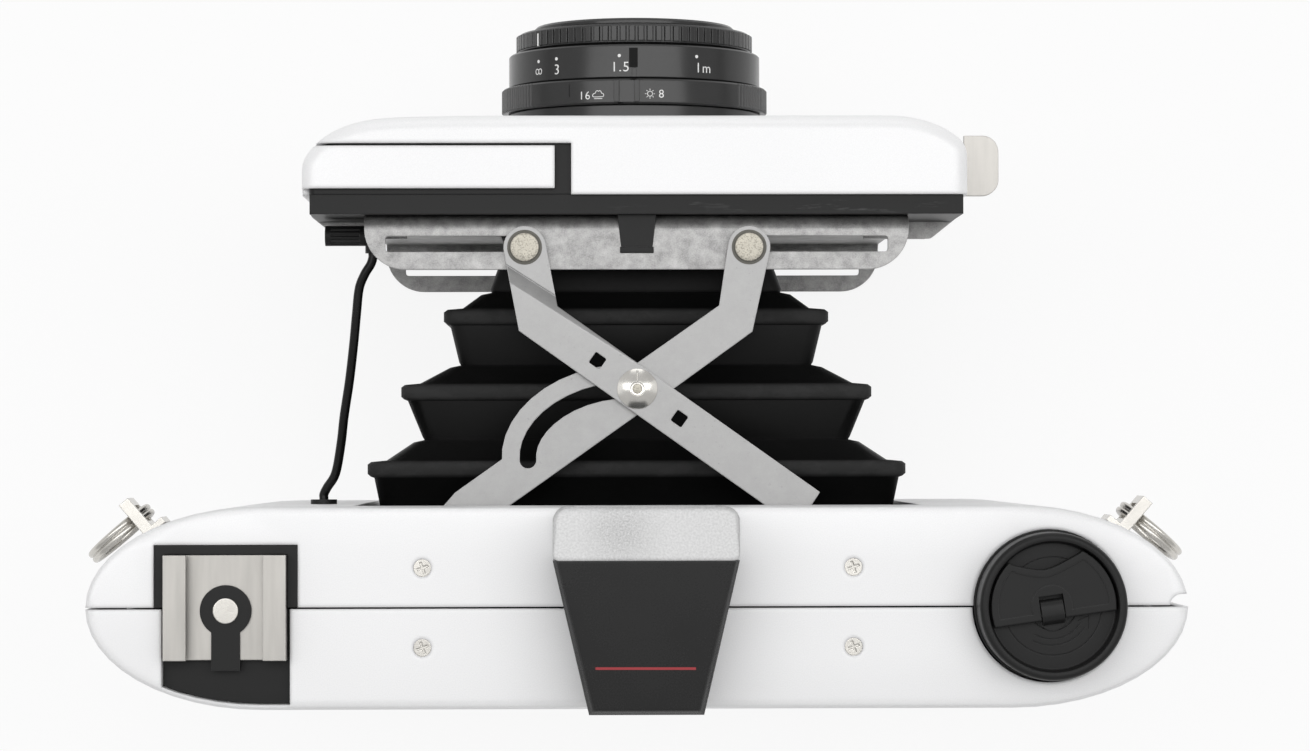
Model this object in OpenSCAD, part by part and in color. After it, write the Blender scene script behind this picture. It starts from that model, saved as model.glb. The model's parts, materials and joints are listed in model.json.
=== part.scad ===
// Folding bellows camera for 120 roll film, panoramic frame, open for use.
// +Z is up, the lens looks along -Y, the origin is the tripod socket in the base.

/* [Body] */
// Depth of the body from front wall to back wall
body_d = 34; // [33.6:0.2:36]
// Height of the body
body_h = 90; // [89:0.5:94]
// Wall of the two body shells
wall = 2; // [1.8:0.1:2.2]
// Length of each rounded end
end_len = 29.5; // [28:0.5:31]
// Rounding of the top and bottom edges
edge_r = 1.6; // [1:0.1:1.8]
// Seam line behind the tripod socket
seam_y = 8.6; // [8:0.2:9.4]
// Gap along the seam between body and back
seam_gap = 0.3; // [0.2:0.05:0.5]
// Narrowing of the bellows opening from the film gate, each side
mouth_in = 6.5; // [5:0.5:7.5]

/* [Film] */
// Length of a film spool
spool_l = 65; // [64:0.5:66]
// Diameter of a spool flange
spool_d = 25; // [24:0.2:25.4]
// Distance from the film gate to the axis of each spool
spool_out = 14.75; // [14.6:0.05:15.2]
// Distance from the axis of each spool to the end of the body
end_out = 23.55; // [23.4:0.05:24.6]
// Diameter of the pins that carry the spools
spool_pin_d = 6.4; // [6:0.1:7]
// Width of the film gate
gate_w = 108; // [104:0.5:108.5]
// Height of the film gate
gate_h = 56; // [54:0.5:57]

/* [Top] */
// Diameter of the advance knob
knob_d = 24.6; // [24:0.2:25]
// Height of the advance knob
knob_h = 7.2; // [6.8:0.2:8]
// Gap between the two lips of the accessory shoe
shoe_gap = 12.8; // [12.5:0.1:13]
// Width of each lip of the accessory shoe
lip_w = 3.8; // [3.4:0.1:4]
// Length of the accessory shoe
shoe_l = 17.5; // [17:0.25:18]
// Height of the finder above the body
finder_h = 15; // [13:0.5:17]
// Width of the finder at its front
finder_w = 30.6; // [29:0.2:32]

/* [Folding] */
// Half distance between the pivots of the two struts in the body
strut_pivot_x = 38.4; // [37.8:0.1:38.8]
// Half distance between the front rivets when open
rivet_x = 19; // [18.5:0.1:19.5]
// Front rivets in front of the seam when open
rivet_y = 60.6; // [60.3:0.1:61]
// Width of a strut
strut_w = 7.15; // [6.8:0.05:7.4]
// Thickness of a strut
strut_t = 1.2; // [1:0.05:1.3]
// Top of the rail bracket below the top of the body
rail_drop = 8.8; // [8.5:0.1:9.2]
// Thickness of the steel of the rail bracket
rail_t = 1.2; // [1:0.05:1.4]
// Width of the rail slots
slot_w = 2.7; // [2.6:0.05:3]

/* [Front standard] */
// Top of the front cover below the top of the body
cover_drop = 6; // [5.5:0.25:6.5]
// Wall of the front cover
cover_wall = 1.4; // [1.2:0.1:1.6]
// Diameter of the aperture ring
aperture_d = 47.4; // [46.6:0.2:48]
// Diameter of the distance scale
scale_d = 44.8; // [44:0.2:45.4]
// Diameter of the focusing ring
focus_d = 42.2; // [41.4:0.2:42.8]
// Ribs round the focusing ring
focus_ribs = 84; // [72:6:96]
// Diameter of the bezel
bezel_d = 35.8; // [35:0.2:37]
// Running clearance between turning pieces, on the radius
run = 0.07; // [0.05:0.01:0.1]

/* [Hidden] */
$fn = 64;
e = 0.01;
spool_x = gate_w / 2 + spool_out;
half_w = spool_x + end_out;
mouth_w = gate_w - 2 * mouth_in;
rail_h = body_h - 2 * rail_drop;
cover_h = body_h - 2 * cover_drop;
half_d = body_d / 2;
zc = body_h / 2;
inner_top = body_h - wall;
mate = seam_gap / 2;
spool_y = -0.2;
cup_r = knob_d / 2 + 0.3;
shaft_r = spool_pin_d / 2;
bore_r = shaft_r + run;
shelf_z = zc + spool_l / 2 + 2;
shelf_t = 2;
gate_y = -3;
film_y = 1.5;
gate_wall = 1.4;
gate_side = gate_w / 2 + 0.4;
shoe_w = shoe_gap + 2 * lip_w;
shoe_y0 = -8.9;
shoe_floor = body_h - 1.4;
shoe_t = 1;
insert_y0 = -10.5;
insert_half = shoe_w / 2 + 1.7;
recess_z = body_h - 2.4;
floor_t = 0.5;
rim_w = 0.9;
finder_x = -1.2;
case_screw_x = mouth_w / 2 - 11.5;
finder_gap = 0.4;
hood_y = -8.2;
finder_base = body_h + finder_gap;
finder_top = body_h + finder_h;
// heights of the strut layers, from the bracket up
rail_top = zc + rail_h / 2;
gap_z = 0.3;
low_z = rail_top + gap_z;
high_z = low_z + strut_t + gap_z;
post_r = 2;
pivot = [strut_pivot_x, -5];
rivet = [rivet_x, -rivet_y];
cross_y = -36.6;
fold_deg = 33.5;
mouth_top = high_z + strut_t + 1.6;
slot_out = 42.65;
slot_in = rivet_x - 1.6;
rail_back = -56.9;
rail_bend = -66.2;
rail_half = 46.2;
cover_back = -69.5;
cover_top = zc + cover_h / 2;
cover_front = -83;
barrel_r = 19;
nose_r = 17;

function outline(i) = let (a = end_len - i, b = half_d - i, s = half_w - end_len)
  concat([for (t = [-90 : 7.5 : 90]) [s + a * cos(t), b * sin(t)]],
         [for (t = [90 : 7.5 : 270]) [-s + a * cos(t), b * sin(t)]]);
function spin(v, a) = [v[0] * cos(a) - v[1] * sin(a), v[0] * sin(a) + v[1] * cos(a)];
function unit(v) = v / norm(v);
function side(v) = [-v[1], v[0]];
// path of the middle pin over strut b, as both struts turn by f
function track(f) = let (p = [-pivot[0], pivot[1]], q = [pivot[0], pivot[1]], c = [0, cross_y])
  q + spin(p + spin(c - p, f) - q, f);
function along(k) = unit(track(k + 0.5) - track(k - 0.5));
// a band of half width w round a list of points
function band(pts, w) = let (n = len(pts) - 1) concat(
  [for (i = [0 : n]) pts[i] + w * side(unit(pts[min(i + 1, n)] - pts[max(i - 1, 0)]))],
  [for (i = [n : -1 : 0]) pts[i] - w * side(unit(pts[min(i + 1, n)] - pts[max(i - 1, 0)]))]);

module seat() translate([0, seam_y, 0]) children();
module box(x, y, z) translate([x[0], y[0], z[0]]) cube([x[1] - x[0], y[1] - y[0], z[1] - z[0]]);
module post(r, z, p) translate([p[0], p[1], z[0]]) cylinder(r = r, h = z[1] - z[0]);
module disc(r, y, x = 0, z = zc) translate([x, y[1], z]) rotate([90, 0, 0]) cylinder(r = r, h = y[1] - y[0]);
// a turned ring blank with a chamfer c on both rims
module wheel(r, y, c) translate([0, y[1], zc]) rotate([90, 0, 0]) rotate_extrude()
  polygon([[0, 0], [r - c, 0], [r, c], [r, y[1] - y[0] - c], [r - c, y[1] - y[0]], [0, y[1] - y[0]]]);
module both_z() { children(); translate([0, 0, body_h]) mirror([0, 0, 1]) children(); }
module both_x() { children(); mirror([1, 0, 0]) children(); }
module slab(i, z, h) translate([0, 0, z]) linear_extrude(h) polygon(outline(i));

module body_solid() hull() {
  slab(edge_r, 0, e);
  slab(edge_r * 0.29, edge_r * 0.29, e);
  slab(0, edge_r, body_h - 2 * edge_r);
  slab(edge_r * 0.29, body_h - edge_r * 0.29 - e, e);
  slab(edge_r, body_h - e, e);
}

module screw_holes(y) for (x = [-case_screw_x, case_screw_x], z = [0, 1]) translate([x, y, z * body_h]) {
  translate([0, 0, -wall / 2]) cylinder(r = 1.5, h = wall);
  translate([0, 0, -wall - 1]) cylinder(r = 0.9, h = 2 * wall + 2);
}

module screws(y) both_z() for (x = [-case_screw_x, case_screw_x]) difference() {
  union() {
    post(1.5, [body_h - wall / 2, body_h - 0.15], [x, y]);
    post(0.9, [inner_top, body_h - wall / 2 + e], [x, y]);
  }
  for (a = [20, 110]) translate([x, y, body_h - 0.6]) rotate(a) translate([-1, -0.2, 0]) cube([2, 0.4, 1]);
}

module front_shell() color("white") seat() difference() {
  union() {
    difference() {
      intersection() {
        body_solid();
        box([-half_w - 1, half_w + 1], [-half_d - 1, -mate], [-1, body_h + 1]);
      }
      slab(wall, wall, body_h - 2 * wall);
      post(hinge_r + 0.7, [-1, body_h + 1], hinge_at);
      box([-half_w - 1, hinge_at[0]], [-hinge_r - 0.7, 1], [-1, body_h + 1]);
    }
    for (z = [[zc - hinge_half, zc - 6], [zc + 6, zc + hinge_half]]) knuckle(z, -1);
  }
  post(hinge_pin_r, [zc - hinge_half - 4, zc + hinge_half + 4], hinge_at);
  box([-mouth_w / 2, mouth_w / 2], [-half_d - 1, -half_d + wall + 1], [body_h - mouth_top, mouth_top]);
  post(cup_r + 0.1, [inner_top - 1, body_h + 1], [-spool_x, spool_y]);
  box([spool_x - insert_half - 0.1, spool_x + insert_half + 0.1], [insert_y0 - 0.1, 1], [inner_top - 1,
      body_h + 1]);
  screw_holes(-6.65);
  translate([0, -seam_y, -1]) cylinder(r = 4.6, h = wall + 2);
  both_x() translate([lug_at[0], lug_at[1], lug_z]) rotate(lug_turn) {
    rotate([90, 0, 0]) cylinder(r = 1, h = 12, center = true);
    lug_foot(e);
  }
  disc(1.6, [-half_d - 1, -half_d + wall + 1], lead_end[0], lead_end[2]);
}

module film_gate() color("dimgray") seat() difference() {
  union() {
    box([-gate_side - gate_wall, gate_side + gate_wall], [gate_y, -mate], [wall, inner_top]);
    box([-gate_side, gate_side], [-mate - e, film_y], [rail_drop + 0.2, body_h - rail_drop - 0.2]);
    both_x() {
      box([gate_side, gate_side + gate_wall], [-half_d + wall, gate_y + e], [wall, inner_top]);
      both_z() {
        box([gate_side, spool_x], [-half_d + wall + 0.8, 4], [shelf_z, shelf_z + shelf_t]);
        post(4.2, [shelf_z, shelf_z + shelf_t], [spool_x, spool_y]);
      }
      post(1.6, [zc - spool_l / 2 + 3, zc + spool_l / 2 - 3], [gate_side, -0.1]);
    }
  }
  box([-gate_w / 2, gate_w / 2], [gate_y - 1, film_y + 1], [zc - gate_h / 2, zc + gate_h / 2]);
  post(bore_r + 0.3, [zc, body_h], [-spool_x, spool_y]);
  post(cup_r + 2.1, [inner_top - 2.1, body_h], [-spool_x, spool_y]);
  both_z() box([-gate_side - 2, gate_side - 2], [gate_y - 1, pivot[1] + strut_w / 2 + 0.2],
      [low_z - 1.2, body_h]);
}

module shoe_insert() color("#2c2c2c") seat() difference() {
  union() {
    box([spool_x - insert_half, spool_x + insert_half], [insert_y0, -mate], [inner_top - e, body_h]);
    box([spool_x - insert_half - 0.9, spool_x + insert_half], [insert_y0, -mate], [inner_top - 1.2,
        inner_top]);
  }
  box([spool_x - shoe_w / 2 - 0.1, spool_x + shoe_w / 2 + 0.1], [shoe_y0 - 0.1, 1], [shoe_floor, body_h + 1]);
}

module shoe_plate() color("#cfcac4") seat() translate([spool_x, shoe_y0, shoe_floor]) {
  box([-shoe_w / 2, shoe_w / 2], [0, shoe_l], [0, shoe_t]);
  both_x() {
    box([shoe_w / 2 - 0.8, shoe_w / 2], [0, shoe_l], [shoe_t - e, 3 * shoe_t + 0.9]);
    box([shoe_gap / 2, shoe_w / 2], [0, shoe_l], [shoe_t + 2, 3 * shoe_t + 1]);
  }
}

module shoe_insulator() color("#222222") seat() translate([spool_x, 0.4, shoe_floor + shoe_t]) {
  cylinder(r = 4.3, h = 0.5);
  box([-2.4, 2.4], [0, shoe_y0 + shoe_l + 1.4], [0, 0.5]);
  box([-2.4, 2.4], [shoe_y0 + shoe_l - 0.4, shoe_y0 + shoe_l + 1.4], [-shoe_t, 0.5]);
}

module shoe_contact() color("silver") seat() post(2.1, [shoe_floor + shoe_t + 0.5,
    shoe_floor + shoe_t + 0.8], [spool_x, 0.4]);

module knob_cup() color("#2c2c2c") seat() difference() {
  union() {
    post(cup_r, [inner_top - e, body_h], [-spool_x, spool_y]);
    intersection() {
      post(cup_r + 2, [inner_top - 2, inner_top], [-spool_x, spool_y]);
      slab(wall + 0.3, inner_top - 3, 4);
      box([-half_w, 0], [-half_d, -mate], [0, body_h]);
    }
    post(cup_r - 1, [inner_top - 2, inner_top], [-spool_x, spool_y]);
  }
  post(bore_r, [inner_top - 3, body_h + 1], [-spool_x, spool_y]);
}

module case_screws() color("silver") seat() screws(-6.65);
module door_screws() color("silver") seat() screws(6.65);

lug_z = zc + 23;
lug_t = 46;
lug_turn = 41;
lug_at = [half_w - end_len + end_len * cos(lug_t), -half_d * sin(lug_t)];
ring_r = 6.2;
ring_wire = 0.6;
ring_off = 4.5;
lug_reach = 7.1;
hole_out = 3.7;

module lug_foot(i) translate([-3.2 - i, -0.9 - i, -3.6 - i]) cube([6.4 + 2 * i, 1.1 + 2 * i, 8.2 + 2 * i]);
module lug() translate([lug_at[0], lug_at[1], lug_z]) rotate(lug_turn) difference() {
  union() {
    translate([-1, -lug_reach, -3.6]) cube([2, lug_reach, 8.2]);
    lug_foot(0);
    translate([0, 4, 0]) rotate([90, 0, 0]) cylinder(r = 0.9, h = 4);
  }
  translate([-2, -hole_out - 1.75, -2.4]) cube([4, 3.5, 5.9]);
}

module strap_lugs() color("silver") seat() both_x() lug();

module ring() translate([lug_at[0], lug_at[1], lug_z]) rotate(lug_turn)
  translate([ring_off, -hole_out, 1.3 - sqrt(ring_r * ring_r - ring_off * ring_off)]) rotate([90, 0, 0])
    for (s = [-1, 1]) translate([0, 0, s * ring_wire * 0.9]) rotate_extrude() translate([ring_r, 0])
        circle(r = ring_wire, $fn = 16);

module ring_left() color("silver") seat() ring();
module ring_right() color("silver") seat() mirror([1, 0, 0]) ring();

tripod_r = 3.175;
tripod_depth = 4.4;
bush_h = 5.2;
module tripod_bush() color("silver") difference() {
  union() {
    cylinder(r = 4.6, h = bush_h);
    translate([0, 0, wall]) cylinder(r = 5.4, h = bush_h - wall);
  }
  translate([0, 0, -1]) cylinder(r = tripod_r, h = tripod_depth + 1);
}

// two posts each side: the near one carries the upper strut layer, the far one the lower
module strut_post(p, z) {
  post(3.4, [z + strut_t + 0.15, inner_top], p);
  post(post_r, [z - 0.15 - e, inner_top], p);
  post(3.2, [z - 0.75, z - 0.15], p);
}

module strut_posts() color("silver") seat() both_z() {
  strut_post([-pivot[0], pivot[1]], high_z);
  strut_post(pivot, low_z);
}

module spool_pins() color("silver") seat() for (s = [[1, 1], [1, -1], [-1, -1]])
  translate([s[0] * spool_x, spool_y, zc]) mirror([0, 0, s[1] > 0 ? 0 : 1]) {
    translate([0, 0, spool_l / 2 + 0.4]) cylinder(r = 4.2, h = 1.6);
    translate([0, 0, spool_l / 2 - 5]) cylinder(r = shaft_r, h = 6);
  }

hinge_at = [-half_w + 1.3, 0];
hinge_half = 15.6;
hinge_r = 1.3;
hinge_pin_r = 0.8;

module hinge_pin() color("silver") seat() post(hinge_pin_r, [zc - hinge_half, zc + hinge_half], hinge_at);

// barrel and web of one hinge leaf, on the side s of the seam
module knuckle(z, s) {
  post(hinge_r, z, hinge_at);
  box([hinge_at[0] - 0.9, hinge_at[0] + 1.6], [min(0, 2.6 * s), max(0, 2.6 * s)], z);
}

module finder_plan(i, y) polygon([[finder_w / 2 - i, y[0]], [finder_w / 2 - i, hood_y], [9.4 - i, y[1]],
  [-9.4 + i, y[1]], [-finder_w / 2 + i, hood_y], [-finder_w / 2 + i, y[0]]]);

module finder_housing() color("#303030") seat() translate([finder_x, 0, 0]) difference() {
  union() {
    hull() {
      translate([0, 0, finder_base]) linear_extrude(finder_h - finder_gap - 1.2) finder_plan(0, [hood_y,
          half_d]);
      translate([0, 0, finder_top - e]) linear_extrude(e) finder_plan(0.8, [hood_y, half_d - 0.8]);
    }
    box([-7, 7], [-half_d + 3, -2], [body_h, finder_base + 2]);
  }
  box([-8, 8], [-half_d - 1, half_d - 2], [finder_base + 2.4, finder_top - 1.8]);
  disc(5, [0, half_d + 1], 0, body_h + 7.6);
}

module finder_hood() color("#b8b8b8") seat() translate([finder_x, 0, 0]) difference() {
  hull() for (s = [-1, 1]) {
    translate([s * (finder_w / 2 - 2.4), -half_d + 2.4, finder_base]) cylinder(r = 2.4, h =
        finder_h - finder_gap - 0.8, $fn = 32);
    translate([s * (finder_w / 2 - 2.4), -half_d + 2.4, finder_base]) cylinder(r = 1.8, h =
        finder_h - finder_gap, $fn = 32);
    translate([s * (finder_w / 2 - 1), hood_y - 1, finder_base]) cylinder(r = 1, h =
        finder_h - finder_gap, $fn = 16);
  }
  box([-7.1, 7.1], [-half_d + 2.9, 0], [finder_base - 1, finder_base + 2.1]);
  box([-12, 12], [-half_d - 1, hood_y + 1], [finder_base + 2.8, finder_top - 2]);
}

module finder_window() color("lightblue") seat() translate([finder_x, 0, 0])
  box([-12, 12], [-half_d + 1, -half_d + 2], [finder_base + 2.8, finder_top - 2]);

module finder_eyepiece() color("lightblue") seat() disc(5, [half_d - 2, half_d - 0.6], finder_x,
    body_h + 7.6);

// pleats from the lens end to the film gate: place behind the seam, half width from the film gate's side,
// and half height from the rail bracket's end
pleat_list = [[-53.6, -29, -12.7], [-50.6, -20.8, -9.7], [-48, -20.8, -9.7], [-41, -23.7, -11.2],
  [-37.6, -13.6, -6.7], [-35, -13.6, -6.7], [-28.1, -17.5, -8.7], [-24.4, -8, -3.8], [-21.8, -8, -3.8],
  [-15.4, -10.5, -6.2], [-11.6, -3, -3.2], [-9.4, -3, -3.2], [-6, -5.5, -5.2], [gate_y, 0.2, -5.2]];
pleats = concat([[rail_bend, 23, 23]], [for (p = pleat_list) [p[0], gate_w / 2 + p[1], rail_h / 2 + p[2]]]);

function pleat_ring(p, t) = let (w = p[1] - t, h = p[2] - t, c = 2.6)
  [[w, h - c], [w - c, h], [-w + c, h], [-w, h - c], [-w, -h + c], [-w + c, -h], [w - c, -h], [w, -h + c]];

module pleated(t, y) {
  n = len(pleats);
  pts = [for (p = pleats, q = pleat_ring(p, t))
    [q[0], p[0] + (p == pleats[n - 1] ? y : p == pleats[0] ? -y : 0), zc + q[1]]];
  polyhedron(pts, concat([[for (i = [7 : -1 : 0]) i]],
    [for (k = [0 : n - 2]) for (i = [0 : 7]) let (j = (i + 1) % 8) [k * 8 + i, k * 8 + j, (k + 1)
        * 8 + j, (k + 1) * 8 + i]],
    [[for (i = [0 : 7]) (n - 1) * 8 + i]]));
}

module bellows() color("#151515") seat() difference() {
  pleated(0, 0);
  pleated(0.8, 1);
}

// cable from the plug on the front standard into the body
lead_r = 0.8;
plug_at = [45.6, -63.5, zc + 21];
lead_end = [mouth_w / 2 + 7, -half_d, zc + 15];
lead_pts = concat([for (p = [[0, 3, 0], [0, 3.8, 0], [0.4, 5, 0], [1.4, 6.6, -0.2], [2.4, 9.1, -0.6],
    [2.9, 13.5, -1], [3.4, 18.5, -1.6], [4.2, 24.9, -2.6]]) plug_at + p],
  [for (p = [[-3.7, -15.4, 2.4], [-3.1, -10.6, 1.6], [-2.1, -5.4, 0.8], [-0.6, -2.9, 0.3], [0, -1.7, 0],
      [0, -0.9, 0], [0, 1.7, 0]]) lead_end + p]);

module lead() color("#1a1a1a") seat() {
  n = len(lead_pts) - 1;
  pts = [for (i = [0 : n]) let (d = unit(lead_pts[min(i + 1, n)] - lead_pts[max(i - 1, 0)]),
      u = unit(cross(d, [0, 0, 1])), v = cross(u, d)) for (k = [0 : 7])
          lead_pts[i] + lead_r * (u * cos(45 * k) + v * sin(45 * k))];
  polyhedron(pts, concat([[for (i = [7 : -1 : 0]) i]],
    [for (k = [0 : n - 1]) for (i = [0 : 7]) let (j = (i + 1) % 8) [k * 8 + i, k * 8 + j, (k + 1)
        * 8 + j, (k + 1) * 8 + i]],
    [[for (i = [0 : 7]) n * 8 + i]]));
}

module lead_grommet() color("#222222") seat() difference() {
  union() {
    disc(1.6, [-half_d - 0.1, -half_d + wall], lead_end[0], lead_end[2]);
    disc(2.3, [-half_d - 0.8, -half_d - 0.0], lead_end[0], lead_end[2]);
  }
  disc(lead_r + 0.1, [-half_d - 2, -half_d + wall + 1], lead_end[0], lead_end[2]);
}

window_z = 8.8;
window_r = 5;
slide_y = half_d - 1;

module back_door() color("white") seat() difference() {
  union() {
    difference() {
      intersection() {
        body_solid();
        box([-half_w - 1, half_w + 1], [mate, half_d + 1], [-1, body_h + 1]);
      }
      difference() {
        slab(wall, wall, body_h - 2 * wall);
        box([spool_x - shoe_w / 2 - 1.6, spool_x + shoe_w / 2 + 1.6], [0, half_d],
            [recess_z - floor_t - 1, body_h]);
      }
      for (z = [[zc - hinge_half - 0.3, zc - 5.7], [zc + 5.7, zc + hinge_half + 0.3]])
          post(hinge_r + 0.4, z, hinge_at);
      post(hinge_r + 0.1, [zc - 5.8, zc + 5.8], hinge_at);
    }
    intersection() {
      knuckle([zc - 5.6, zc + 5.6], 1);
      box([-half_w - 1, 0], [-half_d, half_d], [0, body_h]);
    }
    for (s = [-1, 1]) box([-11, 27], [half_d - 0.3, half_d + 0.4], [zc + s * (window_z + 0.2) - 1.2,
        zc + s * (window_z + 0.2) + 1.2]);
  }
  post(hinge_pin_r + run, [zc - 6, zc + 6], hinge_at);
  post(cup_r + 0.3, [inner_top - 1, body_h + 1], [-spool_x, spool_y]);
  intersection() {
    box([spool_x - shoe_w / 2 - 0.5, spool_x + shoe_w / 2 + 0.5], [-1, half_d], [recess_z - floor_t,
        body_h + 1]);
    slab(rim_w, recess_z - 2, 6);
  }
  screw_holes(6.65);
  box([-10, 26], [slide_y, half_d + 0.05], [zc - window_z, zc + window_z]);
  disc(window_r, [half_d - wall - 1, half_d + 1]);
  box([half_w - 5, half_w + 1], [1.4, 4.2], [zc - 9.2, zc + 4.2]);
}

module door_floor() color("#222222") seat() intersection() {
  box([spool_x - shoe_w / 2 - 0.4, spool_x + shoe_w / 2 + 0.4], [mate, half_d], [recess_z - floor_t,
      recess_z]);
  slab(rim_w + 0.1, recess_z - 2, 6);
}

module pressure_plate() color("#3a3a3a") seat() difference() {
  box([-gate_w / 2 - 1, gate_w / 2 + 1], [film_y + 0.4, film_y + 1.6], [zc - gate_h / 2 - 3,
      zc + gate_h / 2 + 3]);
  disc(window_r + 1, [film_y, film_y + 3]);
}

module plate_springs() color("silver") seat() for (x = [-32, 32]) {
  y0 = film_y + 1.6;
  y1 = half_d - wall;
  translate([x, 0, zc - 6]) linear_extrude(12) polygon([[-16, y1], [-16, y1 - 0.5], [-13, y1 - 0.5],
      [-4, y0], [4, y0],
    [13, y1 - 0.5], [16, y1 - 0.5], [16, y1], [12.7, y1], [3.7, y0 + 0.5], [-3.7, y0 + 0.5], [-12.7, y1]]);
}

module red_windows() color("darkred") seat() disc(window_r, [half_d - wall, half_d - 1.2]);

module window_slider() color("#2c2c2c") seat() {
  box([-9.4, 9.4], [slide_y + 0.1, half_d - 0.1], [zc - window_z + 0.15, zc + window_z - 0.15]);
  for (x = [-3, -1, 1]) box([x, x + 1], [half_d - 0.2, half_d + 0.7], [zc - 5, zc + 5]);
}

module door_latch() color("#b8b8b8") seat() {
  box([half_w - 4.6, half_w - 3.6], [0.6, 4.6], [zc - 12, zc + 7]);
  box([half_w - 3.7, half_w + 0.5], [1.5, 4.1], [zc - 9.1, zc - 1]);
  for (z = [-11, 3]) box([half_w - 4.6, half_w - 3.6], [-3, 0.7], [zc + z, zc + z + 3]);
}

knob_z = body_h + 0.3;
knob_top = body_h + knob_h;
tab_z = knob_top - 1.9;
tab_t = 1.5;
crank_y = 1.2;
crank_turn = 8.2;
hub_x = 0.3;
hub_half = 2;
crank_r = 0.45;
fan_r = knob_d / 2 - 1.9;

module in_knob() translate([-spool_x, spool_y, 0]) rotate(crank_turn) children();
module cylinder_ring(r, z) translate([0, 0, z[0]]) cylinder(r = r, h = z[1] - z[0]);
module crank_bore(r, x) translate([x[0], crank_y, tab_z + tab_t / 2]) rotate([0, 90, 0]) cylinder(r = r,
    h = x[1] - x[0]);

module advance_knob() color("#303030") seat() in_knob() {
  difference() {
    union() {
      cylinder_ring(knob_d / 2, [knob_z, knob_top - 0.5]);
      cylinder_ring(knob_d / 2 - 0.5, [knob_top - 0.6, knob_top]);
    }
    post(knob_d / 2 - 1.4, [tab_z - 0.5, knob_top + 1], [0, 0]);
  }
  difference() {
    box([hub_x - hub_half, hub_x + hub_half], [-2.1, crank_y + 1.4], [tab_z - 0.6, knob_top - 0.2]);
    crank_bore(crank_r, [-9, 9]);
  }
  post(shaft_r, [zc + spool_l / 2 - 6, knob_z + e], [0, 0]);
}

module crank_pin() color("silver") seat() in_knob() crank_bore(crank_r, [-4, 4.6]);

// fan shaped handle, folded flat in the hollow of the knob
module crank_tab() color("#3a3a3a") seat() in_knob() difference() {
  intersection() {
    post(fan_r, [tab_z, tab_z + tab_t], [0, 0]);
    translate([0, 0, tab_z - 1]) linear_extrude(4) polygon([[-12, 2.1], [-12, -5], [-8, -9.4], [-5.86,
        -8.24], [-3.39, -7.35],
      [-0.75, -6.5], [1.21, -6.37], [4.16, -7.2], [6.62, -8.31], [9, -10], [12, -5], [12, 2.1]]);
  }
  crank_bore(crank_r + run, [-4.1, 4.7]);
  box([hub_x - hub_half - 0.15, hub_x + hub_half + 0.15], [-2.3, 3], [tab_z - 1, tab_z + 4]);
}

module spool(s) difference() {
  union() {
    post(5.75, [zc - spool_l / 2, zc + spool_l / 2], [s * spool_x, spool_y]);
    for (z = [zc - spool_l / 2, zc + spool_l / 2 - 1]) post(spool_d / 2, [z, z + 1], [s * spool_x, spool_y]);
  }
  post(bore_r, [zc - spool_l, zc + spool_l], [s * spool_x, spool_y]);
  box([s * spool_x - 0.6, s * spool_x + 0.6], [spool_y - 10, spool_y + 10], [zc - spool_l / 2 + 8,
      zc + spool_l / 2 - 8]);
}
module takeup_spool() color("#202020") seat() spool(-1);
module supply_spool() color("#202020") seat() spool(1);

// plan of the front cover, drawn in by i
function cover_plan(i) = [for (p = [[56.7, cover_back], [56.7, -75], [55.9, -76], [54.9, -77.5], [53.5,
    -78.85], [51.8, -80.05],
  [50.1, -80.9], [48, -81.7], [45.6, -82.25], [42.6, -82.6], [37, -82.8], [30, cover_front],
  [-38, cover_front], [-43, -82.95], [-46, -82.75], [-48.2, -82.35], [-50.5, -81.6], [-52.5, -80.7],
      [-54, -79.75], [-55.2, -78.6],
  [-55.85, -77.5], [-56.1, -75.6], [-56.1, cover_back]])
  [p[0] - i * sign(p[0]) * (abs(p[0]) > 50 ? 1 : 0.6), p[1] ==
      cover_back ? p[1] : p[1] + i * (p[1] < -77 ? 1 : 0.3)]];
cover_low = zc - cover_h / 2;
module cover_slab(i, z, h) translate([0, 0, z]) linear_extrude(h) polygon(cover_plan(i));
hatch_t = 1;
hatch_y = [-77.8, -70.5];
lever_z = zc + 13;
lever_x = -48;

module front_cover() color("white") seat() difference() {
  hull() {
    cover_slab(1.2, cover_low, e);
    cover_slab(0, cover_low + 1.2, cover_h - 2.4);
    cover_slab(1.2, cover_top - e, e);
  }
  difference() {
    cover_slab(cover_wall, cover_low + 2.4, cover_h - 4.8);
    box([-60, 60], [cover_back - 0.6, 0], [0, body_h]);
  }
  box([-53.6, 54.4], [cover_back - 2, cover_back + 1], [cover_low + 2.4, cover_top - 2.4]);
  disc(barrel_r + 0.05, [cover_front - 2, cover_front + 4]);
  box([13.9, 60], [hatch_y[0] - 0.1, hatch_y[1] + 0.1], [cover_top - hatch_t, cover_top + 1]);
  box([11, 13.9], [hatch_y[0] - 0.4, hatch_y[1] + 0.6], [cover_top - hatch_t - 0.4, cover_top + 1]);
  box([16, 53.6], [hatch_y[0] + 1, hatch_y[1] - 1], [cover_top - 4, cover_top + 1]);
  box([-60, -51], [-78.6, -71.4], [lever_z - 5, lever_z + 1.3]);
}

cell_z = cover_top - 10;
cell_r = 5.8;
module standard_base() color("#2c2c2c") seat() difference() {
  union() {
    box([-55.3, 55.3], [cover_back, rail_bend], [cover_low + 1, cover_top - 1]);
    box([15, 46], [-78.2, cover_back + e], [cell_z - cell_r - 2, cell_z - cell_r]);
    disc(1, [-78, cover_back + e], lever_x, lever_z);
    for (s = [-1, 1]) box([s * 30 - 2, s * 30 + 2], [cover_front + cover_wall, cover_back + e],
        [zc - 24, zc - 20]);
  }
  disc(9, [-80, -60]);
}

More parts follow.
